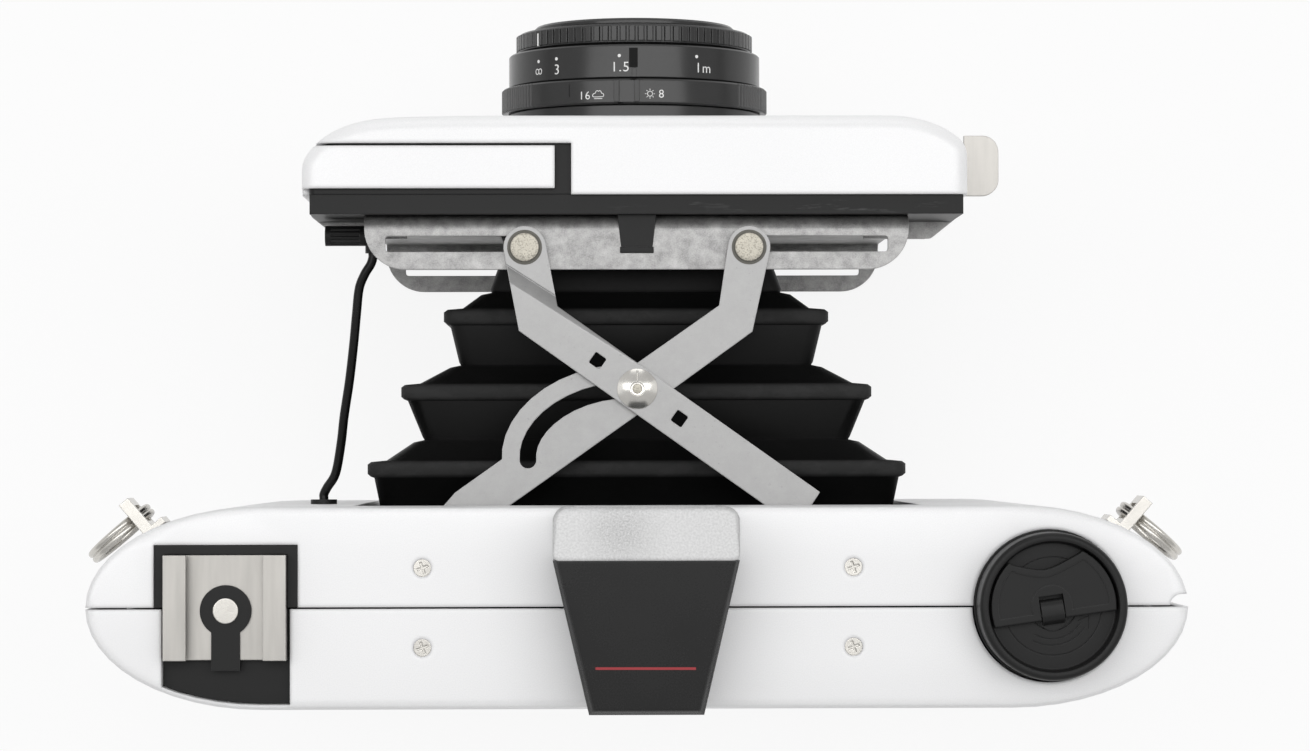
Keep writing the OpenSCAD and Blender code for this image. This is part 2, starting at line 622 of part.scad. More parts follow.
module rail_flange() difference() {
  intersection() {
    union() {
      box([-rail_half, rail_half], [rail_bend, rail_back - 7], [rail_top - rail_t, rail_top]);
      box([-rail_half + 7, rail_half - 7], [rail_bend, rail_back], [rail_top - rail_t, rail_top]);
      both_x() post(7, [rail_top - rail_t, rail_top], [rail_half - 7, rail_back - 7]);
    }
    box([-rail_half, rail_half], [rail_bend, rail_back], [0, body_h]);
  }
  both_x() box([slot_in, slot_out], [slot_y - slot_w / 2, slot_y + slot_w / 2], [rail_top - 2 * rail_t,
      rail_top + 1]);
}
clip_half = 3.3;
clip_end = -59.6;
slot_y = rivet[1] - 0.65;

module rail_bracket() color("#a8a8a4") seat() difference() {
  union() {
    both_z() rail_flange();
    box([-rail_half, rail_half], [rail_bend, rail_bend + rail_t], [zc - rail_h / 2, rail_top]);
    both_x() translate([0, 0, zc + 14]) linear_extrude(rail_t) polygon([[44, rail_bend], [57.2,
        rail_bend], [51.8, -63.3], [44, -63.3]]);
  }
  box([-24, 24], [rail_bend - 1, rail_bend + 3], [zc - 24, zc + 24]);
  both_z() box([-clip_half - 0.05, clip_half + 0.05], [rail_bend - 1, clip_end + 0.05],
      [rail_top - rail_t - 0.05, rail_top + 1]);
}

module cover_clips() color("#303030") seat() both_z() {
  box([-clip_half, clip_half], [rail_bend, clip_end], [rail_top - rail_t, rail_top]);
  box([-clip_half, clip_half], [clip_end - 0.9, clip_end], [rail_top - rail_t - 0.4, rail_top + gap_z / 3]);
}

module coin_cells() color("silver") seat() for (x = [23, 37]) {
  disc(cell_r, [-77.4, -73.2], x, cell_z);
  disc(cell_r - 1.2, [-73.3, -72.2], x, cell_z);
}

ring_gap = 0.12;
flange_y = -86.1;
aperture_y = [-90.6, flange_y - ring_gap];
scale_y = [-96.7, aperture_y[0] - ring_gap];
focus_y = [-100.5, scale_y[0] - 0.3];
bezel_y = -101.8;
web_y = -80;
cell_bore = 14.5;
blade_at = 12;
blade_r = 5.8;

rib_depth = 0.35;
knurl_depth = 0.25;
knurl_step = 2.2;
knurl_ends = [-40, 41];
// section of a ring with n ribs
function ribbed(r, n) = [for (i = [0 : n - 1], p = [[0, rib_depth], [0.25, rib_depth], [0.35, 0], [0.9, 0]])
  let (a = (i + p[0]) * 360 / n) (r - p[1]) * [cos(a), sin(a)]];
// what is cut from the rim of a ring between two angles to leave fine ribs
function comb(r, ends) = concat(
  [for (i = [0 : (ends[1] - ends[0]) / knurl_step], p = [[0, 0], [0.15, knurl_depth], [0.5,
      knurl_depth], [0.65, 0]])
    let (a = ends[0] + (i + p[0]) * knurl_step) (r - p[1]) * [cos(a), sin(a)]],
  [for (a = [ends[1] + knurl_step : -4 : ends[0] - 1]) (r + 1) * [cos(a), sin(a)]]);

module lens_barrel() color("#2c2c2c") seat() {
  difference() {
    union() {
      disc(22.5, [flange_y, cover_front]);
      disc(barrel_r, [scale_y[0], web_y]);
      wheel(scale_d / 2, scale_y, 0.3);
      disc(nose_r, [focus_y[0] + 0.4, scale_y[0] + e]);
    }
    disc(cell_bore, [bezel_y, web_y - 2]);
    disc(5, [web_y - 3, web_y + 1]);
  }
  disc(1, [web_y - e, web_y + 2.6], blade_at);
}

module rear_lens() color("lightblue") seat() disc(9, [cover_back + 0.1, rail_bend - 0.3]);

module sync_plug() color("#b8b8b8") seat() {
  translate([plug_at[0] + 1.2, plug_at[1], plug_at[2]]) rotate([0, 90, 0]) difference() {
    cylinder(r = 1.75, h = 7);
    for (t = [0 : 30 : 330]) rotate(t) translate([1.95, 0, 1]) cylinder(r = 0.4, h = 5, $fn = 6);
  }
  translate([plug_at[0] - 0.4, plug_at[1], plug_at[2]]) rotate([0, 90, 0]) cylinder(r = 1.3, h = 1.7);
  disc(1.3, [rail_bend + rail_t, lead_pts[0][1]], plug_at[0], plug_at[2]);
}

module battery_hatch() color("white") seat() {
  translate([0, 0, cover_top - hatch_t]) linear_extrude(hatch_t) polygon([[14, hatch_y[1]], [56.6,
      hatch_y[1]],
    [56.6, -75.05], [55.7, -76.2], [54.7, hatch_y[0]], [14, hatch_y[0]]]);
  box([17, 33], [hatch_y[0] + 1.2, hatch_y[1] - 1.2], [cover_top - 2.6, cover_top - hatch_t + e]);
  box([17, 33], [hatch_y[0] + 0.2, hatch_y[1] - 0.4], [cover_top - 3.3, cover_top - 2.5]);
}

module shutter_lever() color("#c8c8c8") seat() difference() {
  union() {
    disc(2.3, [-78, -72], lever_x, lever_z);
    box([-58.4, lever_x], [-78, -72], [lever_z - 0.7, lever_z + 0.7]);
    box([-61, -57.8], [-81.45, -70.85], [lever_z - 0.7, lever_z + 0.7]);
    box([-63.85, -57.8], [-78.6, -73.7], [lever_z - 0.7, lever_z + 0.7]);
    for (y = [-78.6, -73.7]) post(2.85, [lever_z - 0.7, lever_z + 0.7], [-61, y]);
  }
  disc(1 + run, [-90, -60], lever_x, lever_z);
}

module shutter_blade() color("#1a1a1a") seat() difference() {
  union() {
    disc(blade_r, [web_y + 0.5, web_y + 1.1]);
    box([0, blade_at], [web_y + 0.5, web_y + 1.1], [zc - 1.6, zc + 1.6]);
    disc(2.4, [web_y + 0.5, web_y + 1.1], blade_at);
  }
  disc(1 + run, [web_y, web_y + 3], blade_at);
}

module aperture_ring() color("#2c2c2c") seat() difference() {
  union() {
    difference() {
      wheel(aperture_d / 2, aperture_y, 0.3);
      both_x() translate([0, aperture_y[1] + 1, zc]) rotate([90, 0, 0]) linear_extrude(8)
          polygon(comb(aperture_d / 2, knurl_ends));
    }
    for (a = [8, -0.5]) translate([0, 0, zc]) rotate([0, a, 0])
      box([-0.35, 0.35], [aperture_y[0] + 0.3, aperture_y[1] - 0.3], [aperture_d / 2 - 1,
          aperture_d / 2 + 0.4]);
  }
  disc(barrel_r + run, [aperture_y[0] - 1, aperture_y[1] + 1]);
}

module focus_ring() color("#2c2c2c") seat() difference() {
  union() {
    wheel(focus_d / 2 - rib_depth - 0.05, focus_y, 0.3);
    translate([0, focus_y[1] - 0.5, zc]) rotate([90, 0, 0])
      linear_extrude(focus_y[1] - focus_y[0] - 0.9) polygon(ribbed(focus_d / 2, focus_ribs));
  }
  disc(nose_r + run, [focus_y[0] + 0.25, focus_y[1] + 1]);
  disc(15.4, [focus_y[0] - 1, focus_y[1] + 1]);
}

module bezel() color("#202020") seat() difference() {
  union() {
    wheel(bezel_d / 2, [bezel_y, focus_y[0]], 0.4);
    disc(cell_bore - run, [bezel_y, scale_y[0] - 0.5]);
  }
  disc(13, [bezel_y - 1, scale_y[0] + 1]);
}

module front_lens() color("lightblue") seat() disc(12.95, [bezel_y + 0.6, focus_y[0] + 1]);

// a strut as a flat band of points, at height z
module strap(pts, z, h) {
  translate([0, 0, z]) linear_extrude(h) polygon(band(pts, strut_w / 2));
  for (p = [pts[0], pts[len(pts) - 1]]) post(strut_w / 2, [z, z + h], p);
}
bend_at = [16.7, -48.5];
elbow = [-28.5, -16.4];
strut_pts = [rivet, bend_at, [0, cross_y], elbow, [-pivot[0], pivot[1]]];
step_at = [17.7, -54.7];
step_turn = 147.5;
shank_r = 1.2;
centre_r = 1.1;
slope = 35.4;

module strut_holes(x) {
  post(post_r + run, [0, body_h], [x * -pivot[0], pivot[1]]);
  post(shank_r, [0, body_h], [x * rivet[0], rivet[1]]);
}

module strut_a() difference() {
  union() {
    intersection() {
      strap(strut_pts, low_z, strut_t);
      translate([step_at[0], step_at[1], 0]) rotate(step_turn) box([-30, 30], [0, 60], [0, body_h]);
    }
    intersection() {
      strap(strut_pts, high_z, strut_t);
      translate([step_at[0], step_at[1], 0]) rotate(step_turn) box([-90, 90], [-120, 0], [0, body_h]);
    }
    intersection() {
      strap(strut_pts, low_z, 2 * strut_t + gap_z);
      translate([step_at[0], step_at[1], 0]) rotate(step_turn) box([-30, 30], [-0.6, 0.6], [0, body_h]);
    }
  }
  strut_holes(1);
  post(centre_r, [0, body_h], [0, cross_y]);
  for (d = [8.2, -8.7]) translate([0, cross_y, high_z]) rotate(-slope) translate([d, 0, 0]) cube([2.2,
      2.2, 4 * strut_t], center = true);
}

// strut b carries the cam plate with the curved slot that the middle pin runs in
cam_w = 4.4;
cam_slot = 1.4;
module strut_b() difference() {
  union() {
    strap([for (p = strut_pts) [-p[0], p[1]]], low_z, strut_t);
    translate([0, 0, low_z]) linear_extrude(strut_t) polygon(concat(
      [for (f = [0 : 3 : fold_deg + 2]) track(f) - cam_w * side(along(f))],
      [[27.1, -20.9], [33, -16.7], [38.4, -8.5], [36, -6], [26, -14], [4, -32]]));
  }
  strut_holes(-1);
  translate([0, 0, low_z - 1]) linear_extrude(strut_t + 2) polygon(band([for (f = [0 : 3 : fold_deg])
      track(f)], cam_slot));
  for (f = [0, 33]) post(cam_slot, [low_z - 1, low_z + strut_t + 1], track(f));
}

// front rivet: the neck in the rail slot is thin, since the slot is where the linkage is opened
module front_rivet(x) {
  post(2.35, [low_z + strut_t, low_z + strut_t + 0.7], [x, rivet[1]]);
  post(shank_r, [low_z, low_z + strut_t + e], [x, rivet[1]]);
  post(0.35, [rail_top - rail_t - 0.8, low_z + e], [x, rivet[1]]);
  post(2.2, [rail_top - rail_t - 0.9, rail_top - rail_t - 0.2], [x, rivet[1]]);
}

module centre_rivet() {
  translate([0, cross_y, high_z + strut_t]) cylinder(r1 = 3.34, r2 = 2.2, h = 0.9);
  post(centre_r, [low_z - 0.9, high_z + strut_t + e], [0, cross_y]);
  post(2.6, [low_z - 0.9, low_z - 0.2], [0, cross_y]);
}

module turned() translate([0, 0, body_h]) mirror([0, 0, 1]) children();
module strut_a_top() color("#bdbdbb") seat() strut_a();
module strut_b_top() color("#bdbdbb") seat() strut_b();
module strut_a_low() color("#bdbdbb") seat() turned() strut_a();
module strut_b_low() color("#bdbdbb") seat() turned() strut_b();
module strut_a_top_rivets() color("silver") seat() { front_rivet(rivet[0]); centre_rivet(); }
module strut_b_top_rivet() color("silver") seat() front_rivet(-rivet[0]);
module strut_a_low_rivets() color("silver") seat() turned() { front_rivet(rivet[0]); centre_rivet(); }
module strut_b_low_rivet() color("silver") seat() turned() front_rivet(-rivet[0]);

front_shell();
film_gate();
shoe_insert();
shoe_plate();
shoe_insulator();
shoe_contact();
knob_cup();
case_screws();
strap_lugs();
tripod_bush();
strut_posts();
spool_pins();
hinge_pin();
finder_housing();
finder_hood();
finder_window();
finder_eyepiece();
bellows();
lead();
lead_grommet();
ring_left();
ring_right();
back_door();
door_floor();
door_screws();
pressure_plate();
plate_springs();
red_windows();
window_slider();
door_latch();
advance_knob();
crank_pin();
crank_tab();
takeup_spool();
supply_spool();
front_cover();
standard_base();
rail_bracket();
cover_clips();
coin_cells();
lens_barrel();
rear_lens();
sync_plug();
battery_hatch();
shutter_lever();
shutter_blade();
aperture_ring();
focus_ring();
bezel();
front_lens();
strut_a_top();
strut_a_top_rivets();
strut_b_top();
strut_b_top_rivet();
strut_a_low();
strut_a_low_rivets();
strut_b_low();
strut_b_low_rivet();
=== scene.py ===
import bpy
import bmesh
import json
from math import radians, degrees, sin, cos, pi, atan2, sqrt
from mathutils import Vector, Matrix, Euler
from mathutils.bvhtree import BVHTree

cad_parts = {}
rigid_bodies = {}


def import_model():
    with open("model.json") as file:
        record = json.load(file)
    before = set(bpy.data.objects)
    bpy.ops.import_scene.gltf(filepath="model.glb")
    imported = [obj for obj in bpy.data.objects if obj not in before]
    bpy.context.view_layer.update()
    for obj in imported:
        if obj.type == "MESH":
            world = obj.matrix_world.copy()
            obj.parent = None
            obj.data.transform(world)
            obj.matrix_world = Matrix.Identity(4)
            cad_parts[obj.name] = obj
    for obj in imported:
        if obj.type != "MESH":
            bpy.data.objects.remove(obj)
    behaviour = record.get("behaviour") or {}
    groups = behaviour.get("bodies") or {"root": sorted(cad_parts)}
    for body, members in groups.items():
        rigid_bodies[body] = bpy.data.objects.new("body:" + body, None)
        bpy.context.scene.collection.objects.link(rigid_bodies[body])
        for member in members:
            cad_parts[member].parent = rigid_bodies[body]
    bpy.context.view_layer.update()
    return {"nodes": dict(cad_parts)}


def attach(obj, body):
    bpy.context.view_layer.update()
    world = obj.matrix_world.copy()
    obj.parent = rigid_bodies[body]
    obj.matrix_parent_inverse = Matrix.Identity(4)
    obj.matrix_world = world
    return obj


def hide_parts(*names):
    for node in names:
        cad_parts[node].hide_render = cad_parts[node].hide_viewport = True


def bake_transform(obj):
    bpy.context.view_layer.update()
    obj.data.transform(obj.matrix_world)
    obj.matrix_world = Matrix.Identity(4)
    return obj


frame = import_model()
nodes = frame["nodes"]
print("frame loaded with", len(nodes), "nodes")

# lengths are millimetres, and y counts from the seam between body and back
seamY = 8.6
midZ = 45.0
toRow = Matrix.Scale(0.001, 4) @ Matrix.Translation((0, seamY, 0))
fromRow = toRow.inverted()


def placed(name, data):
    o = bpy.data.objects.new(name, data)
    bpy.context.scene.collection.objects.link(o)
    return o


def finished(o):
    return o.evaluated_get(bpy.context.evaluated_depsgraph_get()).to_mesh()


# camera, settled by the image points
cameraValues = {
    "place": (7.307, -25.294, 727.389),
    "turn": (1.2082, -0.9144, 179.8822),
    "lens": 104.832,
    "sensor": 36.0,
    "frame": (1310, 751),
}


def makeCamera(v):
    data = bpy.data.cameras.new("viewCamera")
    data.sensor_fit = "AUTO"
    data.sensor_width = v["sensor"]
    data.lens = v["lens"]
    data.clip_start, data.clip_end = 0.01, 20
    camera = placed("viewCamera", data)
    camera.location = toRow @ Vector(v["place"])
    camera.rotation_euler = Euler([radians(a) for a in v["turn"]])
    bpy.context.scene.camera = camera
    bpy.context.view_layer.update()
    return camera


camera = makeCamera(cameraValues)
frameW, frameH = cameraValues["frame"]
longSide = max(frameW, frameH)


# a ray through an image point, in row metres
def rayThrough(x, y):
    d = camera.data
    local = Vector((x - frameW / 2 + d.shift_x * longSide, frameH / 2 - y + d.shift_y * longSide,
        -longSide * d.lens / d.sensor_width))
    return camera.matrix_world.translation, (camera.matrix_world.to_3x3() @ local).normalized()


def toImage(point):
    d = camera.data
    p = camera.matrix_world.inverted() @ Vector(point)
    k = longSide * d.lens / d.sensor_width / -p.z
    return frameW / 2 - d.shift_x * longSide + p.x * k, frameH / 2 + d.shift_y * longSide - p.y * k


def treeOf(objects):
    points, faces = [], []
    for o in objects:
        mesh = finished(o)
        mesh.calc_loop_triangles()
        n = len(points)
        points += [o.matrix_world @ v.co for v in mesh.vertices]
        faces += [[n + i for i in t.vertices] for t in mesh.loop_triangles]
    return BVHTree.FromPolygons(points, faces)


# where an image point lies on what carries a piece, in seam millimetres
def onSurface(x, y, tree):
    start, way = rayThrough(x, y)
    hit = tree.ray_cast(start, way)[0]
    if hit is None:
        best = None
        for i in range(200):
            p = start + way * (0.55 + i * 0.001)
            q, _, _, gap = tree.find_nearest(p)
            if best is None or gap < best[0]:
                best = (gap, q)
        hit = best[1]
    return fromRow @ hit


# materials: a socket that can stand in sums
class Wire:
    def __init__(self, shade, socket):
        self.shade, self.socket = shade, socket

    def join(self, operation, a, b):
        return self.shade.node("ShaderNodeMath", {"operation": operation}, [a, b])

    def __add__(self, other): return self.join("ADD", self, other)
    def __radd__(self, other): return self.join("ADD", other, self)
    def __sub__(self, other): return self.join("SUBTRACT", self, other)
    def __rsub__(self, other): return self.join("SUBTRACT", other, self)
    def __mul__(self, other): return self.join("MULTIPLY", self, other)
    def __rmul__(self, other): return self.join("MULTIPLY", other, self)


class Shade:
    def __init__(self, name, **constants):
        self.material = bpy.data.materials.new(name)
        self.material.use_nodes = True
        self.tree = self.material.node_tree
        self.tree.nodes.clear()
        self.shader = self.tree.nodes.new("ShaderNodeBsdfPrincipled")
        self.out = self.tree.nodes.new("ShaderNodeOutputMaterial")
        self.tree.links.new(self.shader.outputs[0], self.out.inputs[0])
        for k, v in constants.items():
            self.set(self.shader, k, v)
        self.place = self.node("ShaderNodeTexCoord", out="Object")

    def set(self, node, key, value):
        socket = node.inputs[key]
        if isinstance(value, Wire):
            self.tree.links.new(value.socket, socket)
        elif isinstance(value, (tuple, list)) and socket.type == "RGBA" and len(value) == 3:
            socket.default_value = (*value, 1)
        else:
            socket.default_value = value

    def node(self, kind, settings=None, values=(), out=0):
        n = self.tree.nodes.new(kind)
        for k, v in (settings or {}).items():
            setattr(n, k, v)
        for k, v in (values.items() if isinstance(values, dict) else enumerate(values)):
            self.set(n, k, v)
        return Wire(self, n.outputs[out])

    def feed(self, **sockets):
        for k, v in sockets.items():
            self.set(self.shader, {"colour": "Base Color"}.get(k, k.capitalize()), v)

    def noise(self, scale, detail=2.0, rough=0.5, stretch=None, shift=0.0):
        place = self.place
        if stretch or shift:
            place = self.node("ShaderNodeMapping", None,
                {"Vector": place, "Scale": stretch or (1, 1, 1), "Location": (shift, shift, shift)})
        return self.node("ShaderNodeTexNoise", None,
            {"Vector": place, "Scale": scale, "Detail": detail, "Roughness": rough})

    def mix(self, factor, a, b):
        n = self.tree.nodes.new("ShaderNodeMix")
        n.data_type = "RGBA"
        for k, v in ((0, factor), (6, a), (7, b)):
            self.set(n, k, v)
        return Wire(self, n.outputs[2])

    def ramp(self, wire, low, high):
        return self.node("ShaderNodeMapRange", {"clamp": True},
            {"Value": wire, "From Min": low, "From Max": high})

    # rounded edges and how near an edge a point lies
    def edges(self, radius):
        soft = self.node("ShaderNodeBevel", {"samples": 6}, {"Radius": radius * 0.001})
        flat = self.node("ShaderNodeNewGeometry", out="Normal")
        near = 1 - self.node("ShaderNodeVectorMath", {"operation": "DOT_PRODUCT"}, [soft, flat], out="Value")
        return soft, near

    def bump(self, height, strength, depth, normal=None):
        values = {"Height": height, "Strength": strength, "Distance": depth * 0.001}
        if normal:
            values["Normal"] = normal
        return self.node("ShaderNodeBump", None, values)


def grey(v, warm=0.0):
    return (v * (1 + warm), v, v * (1 - warm))


# satin paint with fine metal flakes
paintValues = {"base": (0.875, 0.875, 0.88), "dark": (0.82, 0.82, 0.825), "flake": 5200.0, "edge": 1.0,
    "roughness": 0.38}


def silverPaint(name, v, edge=None, patch=None):
    s = Shade(name, Metallic=0.12)
    fleck = s.ramp(s.noise(v["flake"], 1, 0.6), 0.3, 0.7)
    cloud = s.noise(26, 2)
    soft, _ = s.edges(edge or v["edge"])
    tone = s.mix(s.ramp(fleck * 0.6 + cloud * 0.4, 0.2, 0.85), v["dark"], v["base"])
    if patch:
        at = toRow @ Vector((patch[0], patch[1], 105))
        far = s.node("ShaderNodeVectorMath", {"operation": "DISTANCE"}, [s.place, tuple(at)],
            out="Value") * 1000
        spread = 1 - s.ramp(far + 3 * s.noise(500, 3), 2.5, patch[2] + 1.5)
        sparkle = s.ramp(s.noise(3400, 2, 0.7), 0.34, 0.66)
        tone = s.mix(spread * (1 - sparkle) * 0.75, tone, grey(0.34))
    s.feed(colour=tone,
           roughness=v["roughness"] + 0.08 * fleck - 0.04 * cloud,
           normal=s.bump(fleck, 0.10, 0.02, soft))
    return s.material


# black moulded plastic and black lacquer, with a painted highlight that lightens the edges toward the rim
# grey
blackValues = {"grain": 3200.0, "wear": 60.0}


def blackPlastic(name, base=0.0125, gloss=0.42, grainDepth=0.12, edge=0.25, rub=0.0, shine=0.22, rim=0.11):
    s = Shade(name, **{"Specular IOR Level": shine})
    grain = s.noise(blackValues["grain"], 3, 0.6)
    cloud = s.noise(blackValues["wear"], 5, 0.6)
    soft, near = s.edges(edge)
    # painted highlight: edges mixed toward the rim grey, plus scratches (wear) where rub is set
    edgeHighlightAndScratches = s.ramp(near, 0.02, 0.4) * 0.6
    if rub:
        scratches = s.ramp(s.noise(900, 4, 0.7, stretch=(0.12, 1, 0.6)), 0.56,
            0.74) * s.ramp(s.noise(35, 2, shift=0.3), 0.5, 0.62)
        edgeHighlightAndScratches = edgeHighlightAndScratches + scratches * rub
    s.feed(colour=s.mix(s.ramp(edgeHighlightAndScratches, 0, 1), s.mix(cloud, grey(base * 0.8), grey(base * 1.25)), grey(rim)),
           roughness=gloss + 0.12 * (cloud - 0.5) + 0.08 * (grain - 0.5),
           normal=s.bump(grain, grainDepth, 0.03, soft))
    return s.material


# sheet steel: rough and mottled on the rails, finer on the struts, with a painted highlight along the edges
steelValues = {
    "rail": {"light": grey(0.49, 0.01), "dark": grey(0.24, 0.01), "blotch": 420.0, "edge": 0.25,
    "rough": 0.46, "bright": 0.5},
    "strut": {"light": grey(0.385, 0.005), "dark": grey(0.325, 0.005), "blotch": 300.0, "edge": 0.2,
    "rough": 0.42, "bright": 1.0},
}


def sheetSteel(name, v):
    s = Shade(name, Metallic=0.75)
    blotch = s.noise(v["blotch"], 8, 0.65)
    grain = s.noise(5200, 2, 0.5)
    pits = s.ramp(s.noise(1500, 3, 0.6, shift=0.2), 0.66, 0.74)
    soft, near = s.edges(v["edge"])
    tone = s.mix(s.ramp(blotch * 0.7 + grain * 0.3, 0.36, 0.66), v["dark"], v["light"])
    tone = s.mix(pits * 0.5, tone, grey(0.22))
    # painted highlight: edges lightened toward grey 0.92, as much as the bright value says
    tone = s.mix(s.ramp(near, 0.03, 0.35) * v["bright"], tone, grey(0.92))
    height = grain * 0.5 + blotch * 0.4
    s.feed(colour=tone, roughness=v["rough"] + 0.16 * (blotch - 0.5) + 0.05 * (grain - 0.5),
           normal=s.bump(height, 0.18, 0.04, soft))
    return s.material


# bright nickel, polished or grainy, with a painted highlight along the edges
def nickel(name, base=(0.80, 0.77, 0.72), rough=0.26, grainDepth=0.06, edge=0.2, streak=None, pits=0.0):
    s = Shade(name, Metallic=1.0)
    grain = s.noise(3600, 3, 0.6)
    # with streak, the stretched cloud paints reflection streaks into the colour
    cloud = s.noise(110, 3, stretch=streak) if streak else s.noise(180, 4)
    soft, near = s.edges(edge)
    tone = s.mix(s.ramp(cloud, 0.3, 0.7), tuple(c * 0.84 for c in base), base)
    if pits:
        tone = s.mix(s.ramp(s.noise(3800, 3, 0.7), 0.5, 0.6) * pits, tone, tuple(c * 0.45 for c in base))
    # painted highlight: edges lightened toward near white
    tone = s.mix(s.ramp(near, 0.03, 0.4) * 0.5, tone, (0.96, 0.95, 0.93))
    s.feed(colour=tone, roughness=rough + 0.10 * (grain - 0.5) + 0.08 * (cloud - 0.5),
           normal=s.bump(grain, grainDepth, 0.04, soft))
    return s.material


# coated cloth of the bellows: satin folds, dark panels, and a painted highlight along the fold rims
def bellowsCloth(name):
    s = Shade(name, **{"Specular IOR Level": 0.16})
    fold = s.node("ShaderNodeAttribute", {"attribute_name": "fold"}, out="Fac")
    grain = s.noise(1500, 4, 0.65)
    rub = s.ramp(s.noise(260, 5, 0.7, stretch=(0.6, 1, 1)), 0.46, 0.68) * fold
    # the fold value paints the rims lighter (painted highlight); noise patches break it up along the rims
    tone = s.mix(s.ramp(fold * 0.75 + rub * 0.5, 0, 1), grey(0.003), grey(0.026))
    s.feed(colour=tone, roughness=0.44 + 0.16 * fold + 0.1 * (grain - 0.5), normal=s.bump(grain, 0.25, 0.05))
    return s.material


def clearGlass(name, tint, rough=0.02):
    s = Shade(name, **{"Transmission Weight": 1.0, "IOR": 1.5})
    s.feed(colour=s.mix(s.noise(90, 2), tint, tuple(min(1, c * 1.06) for c in tint)),
           roughness=rough + 0.01 * s.noise(300, 2))
    return s.material


def ink(name, colour):
    s = Shade(name)
    s.feed(colour=s.mix(s.noise(2500, 2), tuple(c * 0.9 for c in colour), colour),
           roughness=0.5 + 0.1 * s.noise(900, 2))
    return s.material


paint = silverPaint("silverPaint", paintValues)
paintSoft = silverPaint("silverPaintSoft", paintValues, edge=1.6)
hoodPaint = silverPaint("hoodPaint", {**paintValues, "base": grey(0.72), "dark": grey(0.58), "flake": 2600.0},
    edge=0.9, patch=(2.8, -12.6, 7.5))
plastic = blackPlastic("blackPlastic")
plasticRubbed = blackPlastic("rubbedPlastic", rub=0.5)
glossBlack = blackPlastic("glossBlack", base=0.0125, gloss=0.28, grainDepth=0.03, edge=0.5, rim=0.16)
lensBlack = blackPlastic("lensBlack", base=0.010, gloss=0.24, grainDepth=0.04, edge=0.16, shine=0.5, rim=0.2)
# painted highlight: a lighter black with light edges, so the index ribs read bright
lensRim = blackPlastic("lensRim", base=0.05, gloss=0.3, grainDepth=0.04, edge=0.2, shine=0.3, rim=0.3)
insideBlack = blackPlastic("insideBlack", base=0.006, gloss=0.6, edge=0.1, shine=0.15)
railSteel = sheetSteel("railSteel", steelValues["rail"])
strutSteel = sheetSteel("strutSteel", steelValues["strut"])
brightNickel = nickel("brightNickel", base=(0.66, 0.64, 0.60))
grainNickel = nickel("grainNickel", base=(0.66, 0.64, 0.59), rough=0.38, grainDepth=0.5)
# the streaks on the shoe are painted reflections
shoeNickel = nickel("shoeNickel", base=(0.47, 0.455, 0.43), rough=0.40, grainDepth=0.06, streak=(5, 0.5, 1))
rivetGrain = nickel("rivetGrain", base=(0.56, 0.53, 0.46), rough=0.5, grainDepth=0.9, edge=0.15, pits=0.8)
rivetCone = nickel("rivetCone", base=(0.78, 0.76, 0.72), rough=0.2, grainDepth=0.04, edge=0.08)
rivetDark = nickel("rivetDark", base=(0.16, 0.155, 0.14), rough=0.6, grainDepth=0.5, edge=0.05)
cloth = bellowsCloth("bellowsCloth")
rubber = blackPlastic("cableRubber", base=0.005, gloss=0.3, grainDepth=0.04, edge=0.1)
glass = clearGlass("clearGlass", (0.86, 0.92, 0.95))
redGlass = clearGlass("redGlass", (0.55, 0.02, 0.02), 0.08)
whiteInk = ink("whiteInk", (0.85, 0.85, 0.84))
redInk = ink("redInk", (0.34, 0.022, 0.03))
print("materials made:", len(bpy.data.materials))


# carried-over nodes keep their meshes and get a finish
nodeSharp = 38


def dressNode(name, material):
    o = nodes[name]
    o.data.materials.clear()
    o.data.materials.append(material)
    o.data.polygons.foreach_set("use_smooth", [True] * len(o.data.polygons))
    weld = o.modifiers.new("weld", "WELD")
    weld.merge_threshold = 0.000002
    split = o.modifiers.new("split", "EDGE_SPLIT")
    split.split_angle = radians(nodeSharp)
    split.use_edge_sharp = False
    even = o.modifiers.new("even", "WEIGHTED_NORMAL")
    even.mode, even.weight, even.thresh = "FACE_AREA", 80, 0.01


finishes = (
    (paint, "front_shell back_door"),
    (paintSoft, "front_cover battery_hatch"),
    (hoodPaint, "finder_hood door_latch"),
    (insideBlack, "film_gate pressure_plate takeup_spool supply_spool shutter_blade"),
    (plastic, "shoe_insert shoe_insulator knob_cup lead_grommet door_floor window_slider "
     "advance_knob crank_pin crank_tab cover_clips sync_plug"),
    (shoeNickel, "shoe_plate shutter_lever"),
    (brightNickel, "shoe_contact case_screws door_screws strap_lugs tripod_bush strut_posts spool_pins "
     "hinge_pin ring_left ring_right plate_springs coin_cells"),
    (glossBlack, "finder_housing"),
    (glass, "finder_window finder_eyepiece rear_lens front_lens"), (cloth, "bellows"), (rubber, "lead"),
    (redGlass, "red_windows"),
    (plasticRubbed, "standard_base"),
    (railSteel, "rail_bracket"),
    (lensBlack, "lens_barrel aperture_ring focus_ring bezel"),
    (strutSteel, "strut_a_top strut_a_low strut_b_top strut_b_low"),
    (grainNickel, "strut_a_top_rivets strut_a_low_rivets strut_b_top_rivet strut_b_low_rivet"),
)
for material, names in finishes:
    for name in names.split():
        dressNode(name, material)
print("carried-over nodes dressed:", len(nodes))


# shaping helpers: every outline and profile is in seam millimetres
def facing(bm):
    bmesh.ops.recalc_face_normals(bm, faces=bm.faces)
    return bm


def merged(bm, gap=0.0005):
    bmesh.ops.remove_doubles(bm, verts=bm.verts, dist=gap)
    return bm


def only(kind, geom):
    return [g for g in geom if isinstance(g, kind)]


def chainOf(bm, points):
    chain = [bm.verts.new(p) for p in points]
    pairs = list(zip(chain, chain[1:])) + [(chain[-1], chain[0])]
    return chain + [bm.edges.new(p) for p in pairs]


